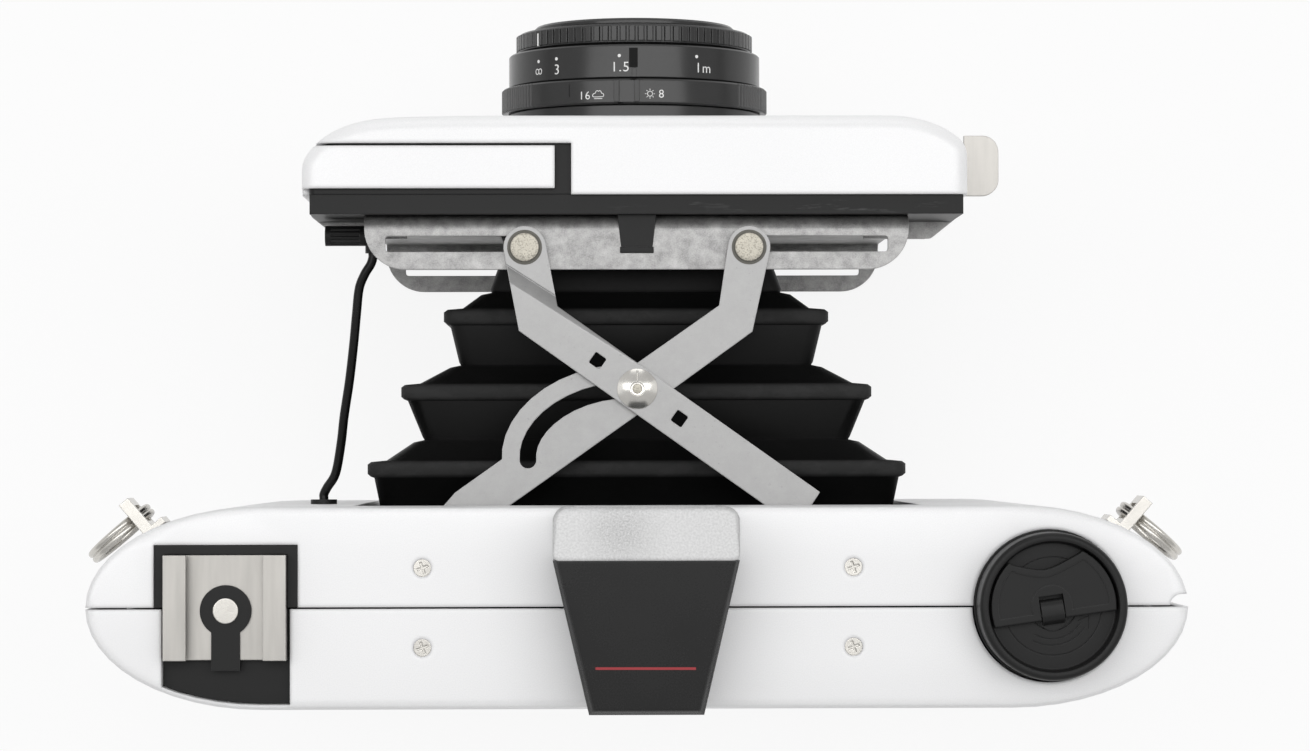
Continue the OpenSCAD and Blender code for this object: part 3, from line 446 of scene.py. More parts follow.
# a profile of radius and height turned about the upright axis
def lathe(profile, steps):
    bm = bmesh.new()
    geom = chainOf(bm, [(r, 0, h) for r, h in profile])
    bmesh.ops.spin(bm, geom=geom, cent=(0, 0, 0), axis=(0, 0, 1), angle=2 * pi, steps=steps, use_merge=True)
    return facing(merged(bm, 0.0004))


# the same about the lens axis: the profile is radius and place along y
def lensLathe(profile, steps=192):
    bm = lathe(profile, steps)
    bmesh.ops.transform(bm, matrix=Matrix.Translation((0, 0, midZ)) @ Matrix.Rotation(radians(-90), 4, "X"),
        verts=bm.verts)
    return bm


def prism(outline, low, high):
    bm = bmesh.new()
    face = bm.faces.new([bm.verts.new((x, y, low)) for x, y in outline])
    grown = bmesh.ops.extrude_face_region(bm, geom=[face])["geom"]
    bmesh.ops.translate(bm, verts=only(bmesh.types.BMVert, grown), vec=(0, 0, high - low))
    return facing(bm)


def block(x, y, z):
    return prism([(x[0], y[0]), (x[1], y[0]), (x[1], y[1]), (x[0], y[1])], *z)


def soften(bm, width, segments=3, pick=None, angle=28):
    edges = [e for e in bm.edges if e.is_manifold and e.calc_face_angle(0) > radians(angle)
        and (pick is None or pick(e))]
    bmesh.ops.bevel(bm, geom=edges, offset=width, offset_type="OFFSET", segments=segments, profile=0.5,
        affect="EDGES", material=-1, clamp_overlap=True)
    return bm


def moved(bm, matrix):
    bmesh.ops.transform(bm, matrix=matrix, verts=bm.verts)
    if matrix.determinant() < 0:
        bmesh.ops.reverse_faces(bm, faces=bm.faces)
    return bm


def added(bm, *others):
    for other in others:
        mesh = bpy.data.meshes.new("part")
        other.to_mesh(mesh)
        other.free()
        bm.from_mesh(mesh)
        bpy.data.meshes.remove(mesh)
    return bm


# a shape with others cut from it or joined to it
def carve(bm, *cutters, operation="DIFFERENCE"):
    made = []
    for b in (bm, *cutters):
        mesh = bpy.data.meshes.new("carve")
        b.to_mesh(mesh)
        b.free()
        made.append(placed("carve", mesh))
    for o in made[1:]:
        cut = made[0].modifiers.new("cut", "BOOLEAN")
        cut.object, cut.operation, cut.solver = o, operation, "EXACT"
    bpy.context.view_layer.update()
    out = bmesh.new()
    out.from_mesh(finished(made[0]))
    for o in made:
        data = o.data
        bpy.data.objects.remove(o)
        bpy.data.meshes.remove(data)
    return merged(out)


def arcPoints(cx, cy, r, start, end, steps):
    turns = [radians(start + (end - start) * i / steps) for i in range(steps + 1)]
    return [(cx + r * cos(a), cy + r * sin(a)) for a in turns]


def disc(x, y, r, steps, low, high):
    return prism(arcPoints(x, y, r, 0, 360, steps)[:-1], low, high)


# an outline with each corner rounded by its own radius: points are (x, y, radius)
def roundedOutline(points, steps=6):
    out = []
    n = len(points)
    for i, (x, y, r) in enumerate(points):
        p = Vector((x, y))
        a, b = (Vector(points[i - 1][:2]) - p), (Vector(points[(i + 1) % n][:2]) - p)
        if r <= 0:
            out.append((x, y))
            continue
        half = a.angle(b) / 2
        reach = min(r / max(0.001, abs(sin(half) / cos(half))), a.length * 0.49, b.length * 0.49)
        start, end = p + a.normalized() * reach, p + b.normalized() * reach
        for k in range(steps + 1):
            t = k / steps
            q = start * (1 - t) ** 2 + p * 2 * t * (1 - t) + end * t ** 2
            out.append((q.x, q.y))
    return out


# a smooth line through a few points
def smoothLine(points, steps=6, closed=False):
    pts = [Vector(p) for p in points]
    n = len(pts)
    out = []
    for i in range(n if closed else n - 1):
        p0, p1, p2, p3 = [pts[k % n] if closed else pts[max(0, min(n - 1, k))]
            for k in (i - 1, i, i + 1, i + 2)]
        for k in range(steps):
            t = k / steps
            out.append(0.5 * (2 * p1 + (p2 - p0) * t + (2 * p0 - 5 * p1 + 4 * p2 - p3) * t * t
                + (3 * p1 - p0 - 3 * p2 + p3) * t ** 3))
    if not closed:
        out.append(pts[-1])
    return out


# a strip of some width and height along a flat line
def ribbon(points, width, low, high):
    pts = [Vector(p[:2]) for p in points]
    left, right = [], []
    for i, p in enumerate(pts):
        d = (pts[min(i + 1, len(pts) - 1)] - pts[max(i - 1, 0)]).normalized()
        s = Vector((-d.y, d.x)) * width / 2
        left.append(p + s)
        right.append(p - s)
    return prism([tuple(p) for p in left + right[::-1]], low, high)


def makePiece(name, bm, material, body, replaced=(), smooth=32, even=True):
    mesh = bpy.data.meshes.new(name)
    bm.to_mesh(mesh)
    bm.free()
    mesh.transform(toRow)
    mesh.materials.append(material)
    mesh.shade_smooth()
    mesh.set_sharp_from_angle(angle=radians(smooth))
    o = placed(name, mesh)
    if even:
        w = o.modifiers.new("even", "WEIGHTED_NORMAL")
        w.mode, w.keep_sharp, w.weight = "FACE_AREA", True, 80
    if body:
        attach(o, body)
    if replaced:
        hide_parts(*replaced)
    return o


# bellows: rims and valleys, each a ring with cut corners drawn out to the next
bellowsValues = {
    "front": (-66.2, 23.0, 22.0, -60.4),
    "rims": ((-49.3, 33.2, 26.5), (-36.3, 40.4, 29.5), (-23.1, 46.0, 32.4), (-10.5, 51.0, 33.0)),
    "valleys": ((-53.6, 25.0, 23.5), (-41.0, 30.3, 25.0), (-28.1, 36.5, 27.5), (-15.4, 43.5, 30.0)),
    "back": ((-6.0, 48.5, 31.0), (-3.0, 54.2, 31.0)),
    "corner": 2.6, "skin": 0.6,
}


def makeBellows(v):
    # each section is (y, half width, half height, fold); fold sets the painted rim highlight and the
    # roughness
    sections = [(v["front"][0], v["front"][1], v["front"][2], 0),
        (v["front"][3], v["front"][1], v["front"][2], 0)]
    for (yv, wv, hv), (yr, wr, hr) in zip(v["valleys"], v["rims"]):
        sections += [(yv - 0.5, wv + 0.3, hv + 0.2, 0), (yv, wv, hv, 0.25),
            (yv + 0.4, wv + 1.8, hv + 0.7, 0.1)]
        sections += [(yr - 1.5, wr - 3.2, hr - 1.2, 0.05), (yr - 1.25, wr - 0.6, hr - 0.2, 0.9),
            (yr - 0.8, wr, hr, 1), (yr + 0.8, wr, hr, 1),
            (yr + 1.25, wr - 0.5, hr - 0.2, 0.9), (yr + 1.5, wr - 1.1, hr - 0.9, 0.1)]
    sections += [(y, w, h, 0) for y, w, h in v["back"]]
    bm = bmesh.new()
    fold = bm.verts.layers.float.new("fold")
    c = v["corner"]

    def corners(w, h):
        flat = roundedOutline([(w, h, c), (-w, h, c), (-w, -h, c), (w, -h, c)], 4)
        sides = []
        n = len(flat)
        for i, p in enumerate(flat):
            q = flat[(i + 1) % n]
            gap = (Vector(q) - Vector(p)).length
            parts = 14 if gap > 8 else 1
            sides += [tuple(Vector(p).lerp(Vector(q), k / parts)) for k in range(parts)]
        return sides

    y, w, h, f = sections[0]
    geom = chainOf(bm, [(x, y, midZ + z) for x, z in corners(w, h)])
    edges = only(bmesh.types.BMEdge, geom)
    for y, w, h, f in sections[1:]:
        grown = bmesh.ops.extrude_edge_only(bm, edges=edges)["geom"]
        edges = [g for g in only(bmesh.types.BMEdge, grown) if len(g.link_faces) == 1]
        verts = list({x for e in edges for x in e.verts})
        placed = corners(w, h)
        old = sorted(verts, key=lambda q: atan2(q.co.z - midZ + 0.01, q.co.x))
        new = sorted(placed, key=lambda q: atan2(q[1] + 0.01, q[0]))
        for vert, (x, z) in zip(old, new):
            vert.co = (x, y, midZ + z)
            vert[fold] = f
    bmesh.ops.recalc_face_normals(bm, faces=bm.faces)
    outer = sum((face.normal.dot(face.calc_center_median() - Vector((0, face.calc_center_median().y, midZ)))
        for face in bm.faces))
    if outer < 0:
        bmesh.ops.reverse_faces(bm, faces=bm.faces)
    return bm


skin = makePiece("bellowsSkin", makeBellows(bellowsValues), cloth, None, ("bellows",), smooth=60, even=False)
wall = skin.modifiers.new("skin", "SOLIDIFY")
wall.thickness, wall.offset = bellowsValues["skin"] * 0.001, -1
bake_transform(skin)
print("bellows made")


# cable: round points listed, drawn smooth, with a ring at every short step
leadValues = {
    "plug": (45.6, -63.5, 66.0), "end": (54.5, -17.0, 60.0), "radius": 0.8,
    "leaves": ((0, 3, 0), (0, 3.8, 0), (0.4, 5, 0), (1.4, 6.6, -0.2), (2.4, 9.1, -0.6), (2.9, 13.5, -1),
    (3.4, 18.5, -1.6), (4.2, 24.9, -2.6)),
    "arrives": ((-3.7, -15.4, 2.4), (-3.1, -10.6, 1.6), (-2.1, -5.4, 0.8), (-0.6, -2.9, 0.3), (0, -1.7, 0),
    (0, -0.9, 0), (0, 1.7, 0)),
}


def curveMesh(data):
    o = placed(data.name, data)
    bpy.context.view_layer.update()
    bm = bmesh.new()
    bm.from_mesh(finished(o))
    bpy.data.objects.remove(o)
    bpy.data.curves.remove(data)
    return merged(bm)


def tubeAlong(points, radius):
    data = bpy.data.curves.new("path", "CURVE")
    data.dimensions, data.bevel_depth, data.bevel_resolution, data.use_fill_caps = "3D", radius, 5, True
    line = data.splines.new("POLY")
    line.points.add(len(points) - 1)
    for p, q in zip(line.points, points):
        p.co = (*q, 1)
    return facing(curveMesh(data))


def makeLead(v):
    route = [Vector(v["plug"]) + Vector(p) for p in v["leaves"]]
    route += [Vector(v["end"]) + Vector(p) for p in v["arrives"]]
    return tubeAlong(smoothLine(route, 6), v["radius"])


cable = makePiece("leadCable", makeLead(leadValues), rubber, None, ("lead",), smooth=70, even=False)
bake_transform(cable)
print("cable made")


# advance knob with its folding handle, turned a little as in the photograph
knobValues = {
    "place": (-68.75, -0.2), "turn": 8.2, "radius": 12.3, "low": 90.3, "top": 97.2, "floor": 94.8,
    "shaft": 3.2,
    "rings": ((8.15, 0.14, 0.16), (3.95, 0.2, 0.22)), "hub": (0.3, 1.9),
    "fan": 10.4, "tabLow": 95.15, "tabTop": 96.8, "border": 1.2, "panel": 0.22, "arch": (0.3, -0.2, 3.4),
}
inKnob = Matrix.Translation((*knobValues["place"], 0)) @ Matrix.Rotation(radians(knobValues["turn"]), 4, "Z")


def makeKnob(v):
    r, top, floor = v["radius"], v["top"], v["floor"]
    profile = [(0, 71.6), (v["shaft"] - 0.2, 71.6), (v["shaft"], 71.8), (v["shaft"], v["low"]),
        (r - 0.3, v["low"]), (r, v["low"] + 0.3),
        (r, top - 1.1), (r - 0.08, top - 0.6), (r - 0.26, top - 0.25), (r - 0.5, top - 0.06),
        (r - 0.75, top), (r - 1.2, top),
        (r - 1.38, top - 0.07), (r - 1.48, top - 0.25), (r - 1.6, floor + 0.5),
        (r - 1.68, floor + 0.2), (r - 1.9, floor)]
    for at, wide, deep in v["rings"]:
        profile += [(at + wide / 2, floor), (at + wide / 4, floor - deep), (at - wide / 4, floor - deep),
            (at - wide / 2, floor)]
    profile.append((0, floor))
    bm = lathe(profile, 160)
    cx, half = v["hub"]
    hub = prism([(cx - half, 1.0), (cx + half, 1.0), (cx + half, 2.2)] + arcPoints(cx, 1.7, 2.35, 8, 172, 12)
        + [(cx - half, 2.2)], floor - 0.1, floor + 0.35)
    side = [(-1.2, floor - 0.2), (-1.3, floor + 1.0), (-1.15, floor + 1.6), (-0.75, floor + 2.0),
        (-0.1, floor + 2.2), (1.3, floor + 2.25),
        (2.0, floor + 2.1), (2.5, floor + 1.6), (2.9, floor + 0.6), (3.2, floor - 0.2)]
    barrel = prism([(y, z) for y, z in side], -half, half)
    moved(barrel, Matrix(((0, 0, 1, cx), (1, 0, 0, 0), (0, 1, 0, 0), (0, 0, 0, 1))))
    soften(facing(barrel), 0.12, 2, angle=40)
    lines = (arcPoints(0.2, -0.1, 6.55, 53, 138, 24), arcPoints(0.2, -0.1, 5.5, 50, 140, 24),
        [(-3.75, 3.0), (-5.75, 2.3)], [(-5.75, 2.25), (-5.35, 4.6)])
    bm = carve(bm, *[ribbon(line, 0.14, floor - 0.12, floor + 1) for line in lines])
    return moved(added(bm, hub, barrel), inKnob)


def fanOutline(v, inset=0.0):
    r, low = v["fan"] - inset, 2.05 - inset
    top = smoothLine([(6.62, -8.25), (4.16, -7.2), (1.21, -6.37), (-0.75, -6.5), (-3.39, -7.35),
        (-5.86, -8.3)], 5)
    top = [(p.x, p.y + inset * 1.05) for p in top]
    reach = sqrt(r * r - low * low)
    a = degrees(atan2(low, reach))
    right = [p for p in top if p[0] ** 2 + p[1] ** 2 < r * r]
    first, last = right[0], right[-1]
    out = arcPoints(0, 0, r, a, degrees(atan2(first[1], first[0])), 16) + right[1:-1]
    out += arcPoints(0, 0, r, degrees(atan2(last[1], last[0])), -180 - a, 16)
    return out


def makeFan(v):
    cx, half = v["hub"]
    bm = soften(prism(fanOutline(v), v["tabLow"], v["tabTop"]), 0.22, 3,
        pick=lambda e: min(q.co.z for q in e.verts) > v["tabTop"] - 0.01)
    ax, ay, ar = v["arch"]
    panel = prism(fanOutline(v, v["border"]), v["tabTop"] - v["panel"], v["tabTop"] + 1)
    panel = carve(panel, disc(ax, ay, ar, 40, v["tabTop"] - 2, v["tabTop"] + 2))
    slot = block((cx - half - 0.16, cx + half + 0.16), (-1.95, 3.2), (v["tabLow"] - 1, v["tabTop"] + 1))
    return moved(carve(carve(bm, panel), slot), inKnob)


makePiece("advanceKnob", makeKnob(knobValues), plastic, "advance_knob", ("advance_knob",))
makePiece("knobHandle", makeFan(knobValues), plastic, "crank_tab", ("crank_tab",))
print("knob made")


# front cover: a rounded shell, the battery hatch cut from the same form, and the black tray under it
coverValues = {
    "plan": ((56.7, -69.5), (56.7, -74.0), (56.2, -75.8), (54.9, -77.6), (52.9, -79.4), (50.1, -80.95),
    (46.8, -82.0), (42.6, -82.6),
    (36.0, -82.85), (24.0, -83.0), (0.0, -83.0), (-24.0, -83.0), (-38.0, -83.0), (-43.0, -82.97),
    (-46.0, -82.75), (-49.4, -82.0),
    (-52.5, -80.7), (-54.9, -79.0), (-55.9, -77.3), (-56.1, -75.2), (-56.1, -69.5)),
    "low": 6.0, "top": 84.0, "round": 2.6, "wall": 1.4, "hole": 19.1,
    "hatch": (14.0, -77.75, -70.55), "plate": 1.0, "notch": 11.1, "groove": 0.45, "cut": 4.2,
}


def coverBody(v, inset=0.0, back=0.0):
    plan = smoothLine(v["plan"], 4)
    flat = []
    for i, p in enumerate(plan):
        a, b = plan[max(i - 1, 0)], plan[min(i + 1, len(plan) - 1)]
        d = (b - a).normalized()
        q = p + Vector((d.y, -d.x)) * inset
        flat.append((q.x, v["plan"][0][1] + back if i in (0, len(plan) - 1) else q.y))
    bm = prism(flat, v["low"] + inset, v["top"] - inset)
    edge = v["plan"][0][1] + back - 0.01
    rim = lambda e: abs(e.verts[0].co.z - e.verts[1].co.z) < 0.01 and min(q.co.y for q in e.verts) < edge
    return soften(bm, max(0.4, v["round"] - inset), 6, pick=rim, angle=60)


def makeCover(v):
    x0, y0, _ = v["hatch"]
    hole = lensLathe([(0, -90), (v["hole"], -90), (v["hole"], -76), (0, -76)], 128)
    recess = block((x0 - 0.1, 60), (y0 - v["groove"], -68), (v["top"] - v["cut"], v["top"] + 1))
    notch = block((v["notch"], x0), (y0 - v["groove"], -68), (v["top"] - v["cut"], v["top"] + 1))
    slot = block((-60, -51), (-78.6, -71.4), (53, 59.3))
    return carve(coverBody(v), coverBody(v, v["wall"], 1.0), hole, recess, notch, slot)


def makeHatch(v):
    x0, y0, y1 = v["hatch"]
    region = block((x0 - 0.1, 60), (y0, y1), (v["top"] - v["cut"] + 0.1, v["top"] + 1))
    bm = carve(coverBody(v, 0.02, 0.5), region, operation="INTERSECT")
    bm = carve(bm, coverBody(v, v["plate"], 1.0))
    tongue = added(block((17, 33), (y0 + 1.2, y1 - 1.2), (81.4, v["top"] - v["plate"] + 0.02)),
        block((17, 33), (y0 + 0.2, y1 - 0.4), (80.7, 81.5)))
    return added(bm, tongue)


def makeTray(v):
    _, y0, y1 = v["hatch"]
    g = v["groove"] - 0.05
    region = block((v["notch"] + 0.05, 60), (y0 - g, -69.55), (v["top"] - v["cut"] - 0.8, v["top"] + 1))
    bm = carve(coverBody(v, v["plate"] + 0.25, 0.9), region, operation="INTERSECT")
    opening = block((16.4, 50), (y0 + 0.9, y1 - 0.2), (70, 90))
    return carve(bm, opening)


makePiece("coverShell", makeCover(coverValues), paint, "standard", ("front_cover",), smooth=24)
makePiece("hatchPlate", makeHatch(coverValues), paint, "battery_hatch", ("battery_hatch",), smooth=24)
makePiece("hatchTray", makeTray(coverValues), plastic, "standard", smooth=24)
print("front cover made")


# rail bracket: a bent channel with slotted flanges and an ear at each end
railValues = {
    "bend": -66.2, "back": -56.9, "top": 81.2, "low": 8.8, "half": 46.2, "thick": 1.2, "round": 2.9,
    "corner": 7.0,
    "slot": (17.4, 42.65, -62.6, -59.9, 0.7), "lowShift": 0.7, "opening": 24.0,
    "ear": ((40, -67.6, 0), (57.2, -67.6, 0.4), (51.8, -63.3, 1.2), (40, -63.3, 0)), "earAt": 59.0,
    "earHole": (51.9, -68.2, 1.6),
}
sideToFront = Matrix(((0, 0, 1, 0), (1, 0, 0, 0), (0, 1, 0, 0), (0, 0, 0, 1)))


def makeRail(v):
    b, k, t, r = v["bend"], v["back"], v["thick"], v["round"]
    high, low = v["top"], v["low"]
    side = [(k, high)] + arcPoints(b + r, high - r, r, 90, 180, 8) + arcPoints(b + r, low + r, r, 180, 270, 8)
    shifted = k + v["lowShift"]
    side += [(shifted, low), (shifted, low + t)] + arcPoints(b + r, low + r, r - t, 270, 180, 6)
    side += arcPoints(b + r, high - r, r - t, 180, 90, 6) + [(k, high - t)]
    bm = moved(prism(side, -v["half"], v["half"]), sideToFront)
    c = v["corner"]
    x0, x1, y0, y1, cr = v["slot"]
    halves, cuts = [], []
    for shift, z0, z1 in ((0, midZ, 90), (v["lowShift"], 0, midZ)):
        back = k + shift - c
        plan = [(v["half"], b - 0.2)] + arcPoints(v["half"] - c, back, c, 0, 90, 14)
        plan += arcPoints(c - v["half"], back, c, 90, 180, 14) + [(-v["half"], b - 0.2)]
        halves.append(prism(plan, z0, z1))
        for s in (1, -1):
            corners = [(s * x, y + shift, cr) for x, y in ((x0, y0), (x1, y0), (x1, y1), (x0, y1))]
            cuts.append(prism(roundedOutline(corners), z0, z1))
    bm = carve(bm, carve(*halves, operation="UNION"), operation="INTERSECT")
    cuts.append(block((-v["opening"], v["opening"]), (b - 1, b + 3),
        (midZ - v["opening"], midZ + v["opening"])))
    for cut in cuts:
        bm = carve(bm, cut)
    hx, hy, hr = v["earHole"]
    for s in (1, -1):
        ear = prism(roundedOutline([(s * x, y, q) for x, y, q in v["ear"]], 5), v["earAt"], v["earAt"] + t)
        hole = prism([(s * x, y) for x, y in arcPoints(hx, hy, hr, 0, 360, 28)[:-1]], v["earAt"] - 1,
            v["earAt"] + t + 1)
        added(bm, carve(ear, hole))
    return bm


makePiece("railPlate", makeRail(railValues), railSteel, "standard", ("rail_bracket",), smooth=30)


# cover clips: a tapered tongue that ends in a rolled lip, on the top and the bottom flange
clipValues = {"front": -66.3, "wide": 3.3, "narrow": 2.68, "bend": -60.75, "end": -59.66, "top": 81.42,
    "lip": (2.86, 81.49, 79.75)}


def makeClips(v):
    wide, narrow, f, b, e = v["wide"], v["narrow"], v["front"], v["bend"], v["end"]
    half, high, low = v["lip"]
    tongue = soften(prism([(wide, f), (narrow, b), (-narrow, b), (-wide, f)], 80.4, v["top"]), 0.1, 2)
    lip = soften(block((-half, half), (b - 0.02, e), (low, high)), 0.14, 2)
    bm = added(tongue, lip)
    return added(bm, moved(bm.copy(), underside))


underside = Matrix.Translation((0, 0, 2 * midZ)) @ Matrix.Scale(-1, 4, (0, 0, 1))
makePiece("coverClips", makeClips(clipValues), plastic, "standard", ("cover_clips",), smooth=30)
print("rail made")


# upper strut of the left arm: two levels of sheet with a pressed step between them
strutValues = {
    "line": ((19.0, -60.6), (16.7, -48.5), (0.0, -36.6), (-32.0, -13.86), (-38.4, -5.0)), "half": 3.575,
    "low": 81.5, "high": 83.0, "thick": 1.2, "step": (17.7, -54.7), "stepTurn": 147.5, "crease": 0.14,
    "ramp": 2.0,
    "pivotHole": 2.07, "tipHole": 1.2, "crossHole": 1.1, "slope": -35.4, "windows": (8.2, -8.7),
    "window": 1.1, "through": (78, 88),
}


def strapOutline(points, half):
    pts = [Vector(p) for p in points]
    left, right = [], []
    for a, p, b in zip(pts, pts[1:], pts[2:]):
        d, e = (p - a).normalized(), (b - p).normalized()
        n = Vector((-d.y - e.y, d.x + e.x)).normalized()
        reach = half / n.dot(Vector((-d.y, d.x)))
        left.append(p + n * reach)
        right.append(p - n * reach)
    ends = []
    for p, q in ((pts[-1], pts[-2]), (pts[0], pts[1])):
        away = p - q
        turn = degrees(atan2(away.y, away.x))
        ends.append([Vector(c) for c in arcPoints(p.x, p.y, half, turn + 90, turn - 90, 20)])
    return [tuple(p) for p in left + ends[0] + right[::-1] + ends[1]]


def makeSteppedStrut(v):
    low, high, t, c, w = v["low"], v["high"], v["thick"], v["crease"], v["ramp"]
    through = v["through"]
    side = [(60, low + t), (c + 0.1, low + t), (c, low + t - c), (0, low + t - c), (-0.08, low + t),
        (-w, high + t - 0.04), (-w - 0.3, high + t),
        (-120, high + t), (-120, high), (-w, high), (0.15, low), (60, low)]
    bm = moved(prism(side, -60, 60), sideToFront)
    moved(bm, Matrix.Translation((*v["step"], 0)) @ Matrix.Rotation(radians(v["stepTurn"]), 4, "Z"))
    bm = carve(bm, prism(strapOutline(v["line"], v["half"]), *through), operation="INTERSECT")
    holes = [(*v["line"][-1], v["pivotHole"]), (*v["line"][0], v["tipHole"]), (*v["line"][2], v["crossHole"])]
    for x, y, r in holes:
        bm = carve(bm, disc(x, y, r, 40, *through))
    for d in v["windows"]:
        h = v["window"]
        corners = [(d - h, -h, 0.3), (d + h, -h, 0.3), (d + h, h, 0.3), (d - h, h, 0.3)]
        hole = prism(roundedOutline(corners, 3), *through)
        bm = carve(bm, moved(hole, Matrix.Translation((*v["line"][2], 0))
            @ Matrix.Rotation(radians(v["slope"]), 4, "Z")))
    return bm


makePiece("steppedStrut", makeSteppedStrut(strutValues), strutSteel, "strut_a_top", ("strut_a_top",),
    smooth=30)
print("strut made")


# rivets: flat grainy heads sunk in the strut ends, and a bright cone with a small core at the crossing
rivetValues = {
    "front": (19.0, -60.6), "cross": (0.0, -36.6), "head": 2.42, "rise": 0.55, "low": 81.5, "high": 83.0,
    "thick": 1.2,
    "ring": 2.86, "cone": 3.4, "coneTop": 0.95, "well": 1.1, "core": 0.84,
}


def settled(bm, x, y, under):
    moved(bm, Matrix.Translation((x, y, 0)))
    return moved(bm, underside) if under else bm


def makeFrontRivet(v, side, under):
    top, z = v["low"] + v["thick"], v["low"]
    h, rise = v["head"], v["rise"]
    bm = lathe([(0, 79.1), (2.1, 79.1), (2.1, 79.8), (0.35, 79.8), (0.35, z), (1.18, z), (1.18, top + 0.03),
        (h - 0.02, top + 0.03),
        (h, top + 0.1), (h, top + rise - 0.14), (h - 0.05, top + rise - 0.04), (h - 0.16, top + rise),
        (h * 0.6, top + rise + 0.02), (0, top + rise + 0.03)], 56)
    return settled(bm, side * v["front"][0], v["front"][1], under)


def makeRivetRing(v, side, under):
    top = v["low"] + v["thick"]
    bm = lathe([(v["head"] - 0.1, top - 0.02), (v["ring"] + 0.1, top - 0.02), (v["ring"] + 0.1, top + 0.015),
        (v["ring"], top + 0.03),
        (v["head"] - 0.1, top + 0.012)], 56)
    return settled(bm, side * v["front"][0], v["front"][1], under)


def makeCrossRivet(v, under):
    top = v["high"] + v["thick"]
    c, w, rise = v["cone"], v["well"], v["coneTop"]
    bm = lathe([(0, 80.6), (2.6, 80.6), (2.6, 81.3), (1.08, 81.3), (1.08, top), (c - 0.06, top),
        (c, top + 0.06), (c, top + 0.16), (c - 0.1, top + 0.24),
        (w + 0.32, top + rise - 0.04), (w + 0.16, top + rise), (w + 0.04, top + rise - 0.05),
        (w, top + rise - 0.32),
        (0, top + rise - 0.36)], 72)
    slit = block((-0.05, 0.05), (-c + 0.7, -w - 0.1), (top + 0.1, top + rise + 1))
    return settled(carve(bm, slit), *v["cross"], under)


def makeRivetCore(v, under):
    top, k = v["high"] + v["thick"] + v["coneTop"], v["core"]
    bm = lathe([(0, top - 0.5), (k, top - 0.5), (k, top - 0.12), (k - 0.1, top - 0.04), (0, top - 0.01)], 40)
    return settled(bm, *v["cross"], under)


for layer, under in (("top", False), ("low", True)):
    cap = layer.capitalize()
    pair = makeFrontRivet(rivetValues, 1, under)
    makePiece("frontRivetA" + cap, pair, rivetGrain, "strut_a_" + layer, ("strut_a_%s_rivets" % layer,))
    makePiece("crossRivet" + cap, makeCrossRivet(rivetValues, under), rivetCone, "strut_a_" + layer)
    makePiece("crossCore" + cap, makeRivetCore(rivetValues, under), rivetGrain, "strut_a_" + layer)
    makePiece("frontRivetB" + cap, makeFrontRivet(rivetValues, -1, under), rivetGrain, "strut_b_" + layer,
        ("strut_b_low_rivet" if under else "strut_b_top_rivet",))
    for name, side in (("A", 1), ("B", -1)):
        makePiece("rivetSeat" + name + cap, makeRivetRing(rivetValues, side, under), rivetDark,
            "strut_%s_%s" % (name.lower(), layer))
print("rivets made")


# marks on the lens, wrapped on its rings: text is (words, height, image point, node, radius)
markValues = {
    "text": (("3", 1.78, (557, 70.0), "lens_barrel"), ("1.5", 1.72, (620.2, 67.2), "lens_barrel"),
    ("1m", 1.72, (703.2, 68.6), "lens_barrel"),
    ("16", 1.42, (584.6, 96.0), "aperture_ring"), ("8", 1.42, (661.4, 94.2), "aperture_ring")),
    "dots": ((538.7, 61.6), (556.5, 58.9), (619.3, 55.5), (696.6, 56.6)), "dot": 0.29,
    "endless": ((538.9, 71.7), 0.78, 0.14), "cloud": (598.2, 94.7), "sun": (650.0, 93.7), "stroke": 0.11,
    "index": ((538.0, 39.8), 0.42, 2.2), "tick": ((569.3, 90.5), 0.16, 2.3),
    "stop": ((633.4, 57.4), 1.5, 3.4), "stopSlot": ((634.2, 72.2), 0.8, 1.7),
    "ribs": (8.0, -0.5, 0.95, 3.75, 0.46),
    "rise": 0.045, "sunk": -0.02, "ribAt": (-88.4, 23.2, 23.7),
}


# bends flat shapes (x to the right in the image, y up it, thin in z) round a ring at an image point
def wrapOn(bm, at, name):
    tree = ringTrees.setdefault(name, treeOf([nodes[name]]))
    p = onSurface(*at, tree)
    r = sqrt(p.x ** 2 + (p.z - midZ) ** 2)
    start = atan2(p.x, p.z - midZ)
    long = [e for e in bm.edges if e.calc_length() > 0.5]
    bmesh.ops.subdivide_edges(bm, edges=long, cuts=3, use_grid_fill=True)
    for q in bm.verts:
        a = start - q.co.x / r
        reach = r + q.co.z
        q.co = (reach * sin(a), p.y - q.co.y, midZ + reach * cos(a))
    return facing(bm)


def flatText(words, height, rise):
    data = bpy.data.curves.new("figures", "FONT")
    data.body, data.size, data.extrude, data.resolution_u = words, height / 0.7, rise / 2, 3
    data.align_x, data.align_y, data.space_character = "CENTER", "CENTER", 1.12
    data.offset = -0.012
    bm = curveMesh(data)
    bmesh.ops.translate(bm, verts=bm.verts, vec=(0, 0, rise / 2))
    return bm


def closedRibbon(points, width, low, high):
    pts = [Vector(p) for p in points]
    outer, inner = [], []
    for i, p in enumerate(pts):
        d = (pts[(i + 1) % len(pts)] - pts[i - 1]).normalized()
        s = Vector((-d.y, d.x)) * width / 2
        outer.append(p + s)
        inner.append(p - s)
    bm = bmesh.new()
    rings = [[bm.verts.new((*q, z)) for q in ring] for ring,
        z in ((outer, low), (outer, high), (inner, high), (inner, low))]
    n = len(pts)
    for a, b in zip(rings, rings[1:] + rings[:1]):
        for i in range(n):
            bm.faces.new((a[i], a[(i + 1) % n], b[(i + 1) % n], b[i]))
    return facing(bm)


